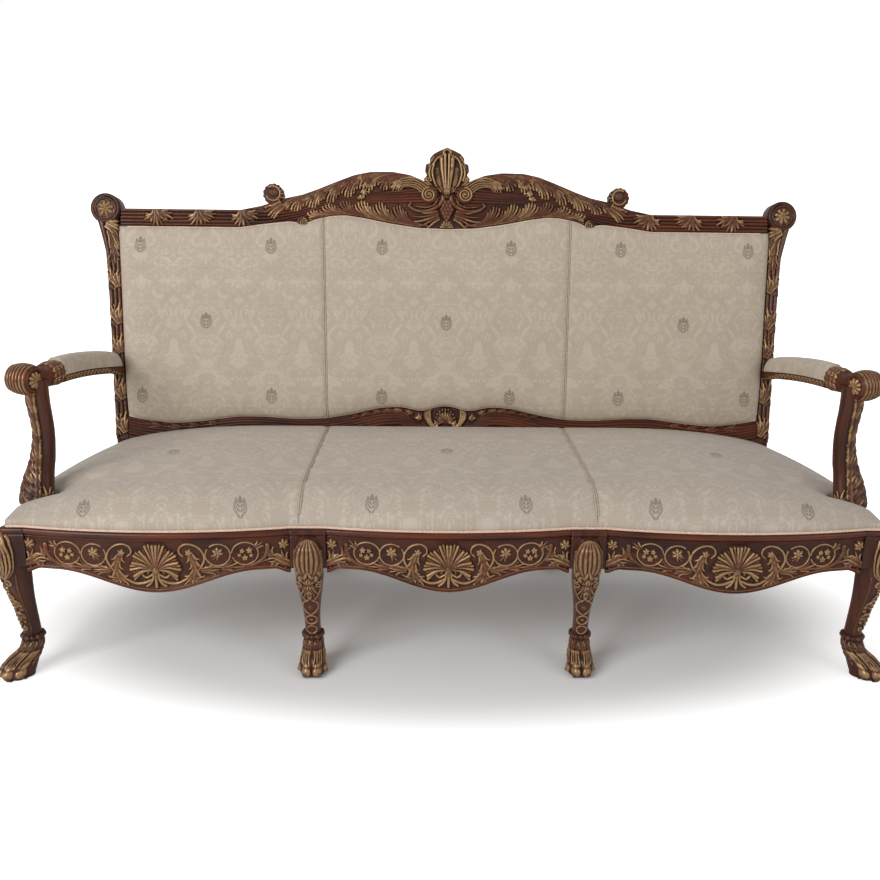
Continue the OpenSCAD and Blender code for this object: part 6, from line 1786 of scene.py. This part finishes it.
beech_along = plain_wood("beech along", (0.3, 3.0, 3.0))
beech_up = plain_wood("beech upright", (3.0, 3.0, 0.3))
beech_deep = plain_wood("beech deep", (3.0, 0.3, 3.0))
wood_deep = show_wood("mahogany deep", (3.0, 0.25, 3.0), rgb(42, 18, 10), rgb(106, 51, 27))
n, finish = new_material("screw steel", Metallic=1.0)
scratch = n.noise(n.where(), 600.0, 2.0)
steel = finish(Base_Color=n.mix(scratch, rgb(120, 118, 112), rgb(168, 166, 160)),
               Roughness=n.plus(n.times(scratch, 0.25), 0.3))
dressed = {"side_rail_left": wood_deep, "side_rail_right": wood_deep, "rear_leg_inner_left": wood_up,
           "rear_leg_inner_right": wood_up, "rear_rail": wood_along, "seat_cross_rail_left": beech_deep,
           "seat_cross_rail_right": beech_deep, "corner_blocks": beech_along, "block_screws": steel,
           "back_upright_left": beech_up, "back_upright_right": beech_up, "arm_dowels": beech_up}
for node, paint in dressed.items():
    for slot in bpy.data.objects[node].material_slots:
        slot.material = paint
print("model's own pieces dressed:", len(dressed))
# %% [markdown]
# ## Floor, light and camera
# The sofa stands in a plain white studio. Near the sofa the floor keeps its shadow. Further out the floor
# glows towards the camera, a painted light that fades the shadow to white. What the camera sees of the
# backdrop is white because of its own colour, not because of more light on the sofa.

# %% Floor and backdrop
n, finish = new_material("studio floor", Roughness=0.9, Emission_Color=(1, 1, 1, 1))
where = n.where()
mottle = n.times(n.noise(where, 1.4, 2.0), 0.05)
apart = n.add("ShaderNodeSeparateXYZ", Vector=where).outputs
# Painted light: the floor glows towards the camera, more the further it lies from the sofa, so that its
# shadow fades out to white.
far_x = n.math("DIVIDE", apart["X"], 1.55)
far_y = n.math("DIVIDE", n.plus(apart["Y"], 0.06), 0.82)
far = n.math("SQRT", n.plus(n.times(far_x, far_x), n.times(far_y, far_y)))
path = n.tree.nodes.new("ShaderNodeLightPath")
glowing_floor_paint = finish(Base_Color=n.mix(mottle, (0.9, 0.9, 0.9, 1), rgb(240, 240, 240)),
                     Emission_Strength=n.times(n.ramp(far, 0.5, 0.98), path.outputs["Is Camera Ray"]))
mesh = bpy.data.meshes.new("floor")
mesh.from_pydata([(-30, -30, 0), (30, -30, 0), (30, 60, 0), (-30, 60, 0)], [], [(0, 1, 2, 3)])
mesh.materials.append(glowing_floor_paint)
floor = bpy.data.objects.new("floor", mesh)
bpy.context.collection.objects.link(floor)

# %% Studio light
world = bpy.data.worlds.new("studio")
bpy.context.scene.world = world
world.use_nodes = True
w = Nodes(world.node_tree)
back = world.node_tree.nodes["Background"]
seen = w.add("ShaderNodeBackground", Color=(1, 1, 1, 1), Strength=1.0)
path = world.node_tree.nodes.new("ShaderNodeLightPath")
back.inputs["Color"].default_value = (1, 1, 1, 1)
back.inputs["Strength"].default_value = 0.5
join = world.node_tree.nodes.new("ShaderNodeMixShader")
w.link(w.math("MAXIMUM", path.outputs["Is Camera Ray"], path.outputs["Is Transmission Ray"]), join.inputs[0])
w.link(back.outputs[0], join.inputs[1])
w.link(seen.outputs[0], join.inputs[2])
w.link(join.outputs[0], world.node_tree.nodes["World Output"].inputs[0])


def softbox(name, place, aim, size, power):
    light = bpy.data.lights.new(name, "AREA")
    light.shape, light.size, light.size_y, light.energy = "RECTANGLE", size[0], size[1], power
    lamp = bpy.data.objects.new(name, light)
    lamp.location = place
    lamp.rotation_euler = (Vector(aim) - Vector(place)).to_track_quat("-Z", "Y").to_euler()
    bpy.context.collection.objects.link(lamp)


softbox("key", (-3.0, -3.6, 2.7), (0, 0, 0.6), (2.8, 2.2), 150)
softbox("fill", (3.2, -3.0, 2.2), (0, 0, 0.5), (2.4, 1.8), 26)
softbox("top", (0, 0.6, 3.6), (0, 0, 0.4), (3.0, 1.6), 14)

# %% [markdown]
# The camera stands where the photograph's camera stood: its height, tilt and lens were fitted to the
# level rails, the paired legs and the slope of the back. The photograph is square, and its middle is
# a little beside the lens's own, which the small shift gives.

# %% Camera
view = bpy.data.cameras.new("camera")
view.sensor_width, view.lens, view.shift_x = 36.0, 1064.7 / 880 * 36, -15 / 880
tilt, turn, roll = math.radians(17.39), math.radians(1.67), math.radians(0.86)
ahead = Vector((math.sin(turn) * math.cos(tilt), math.cos(turn) * math.cos(tilt), -math.sin(tilt)))
right = Vector((math.cos(turn), -math.sin(turn), 0))
above = Vector((math.sin(turn) * math.sin(tilt), math.cos(turn) * math.sin(tilt), math.cos(tilt)))
right, above = (math.cos(roll) * right + math.sin(roll) * above,
                math.cos(roll) * above - math.sin(roll) * right)
camera = bpy.data.objects.new("camera", view)
place = Matrix((right, above, -ahead)).transposed().to_4x4()
place.translation = Vector((-0.0556, -2.280 - Y_MID / 1000, 1.318))
camera.matrix_world = place
bpy.context.collection.objects.link(camera)
bpy.context.scene.camera = camera
bpy.context.scene.view_settings.view_transform = "Standard"
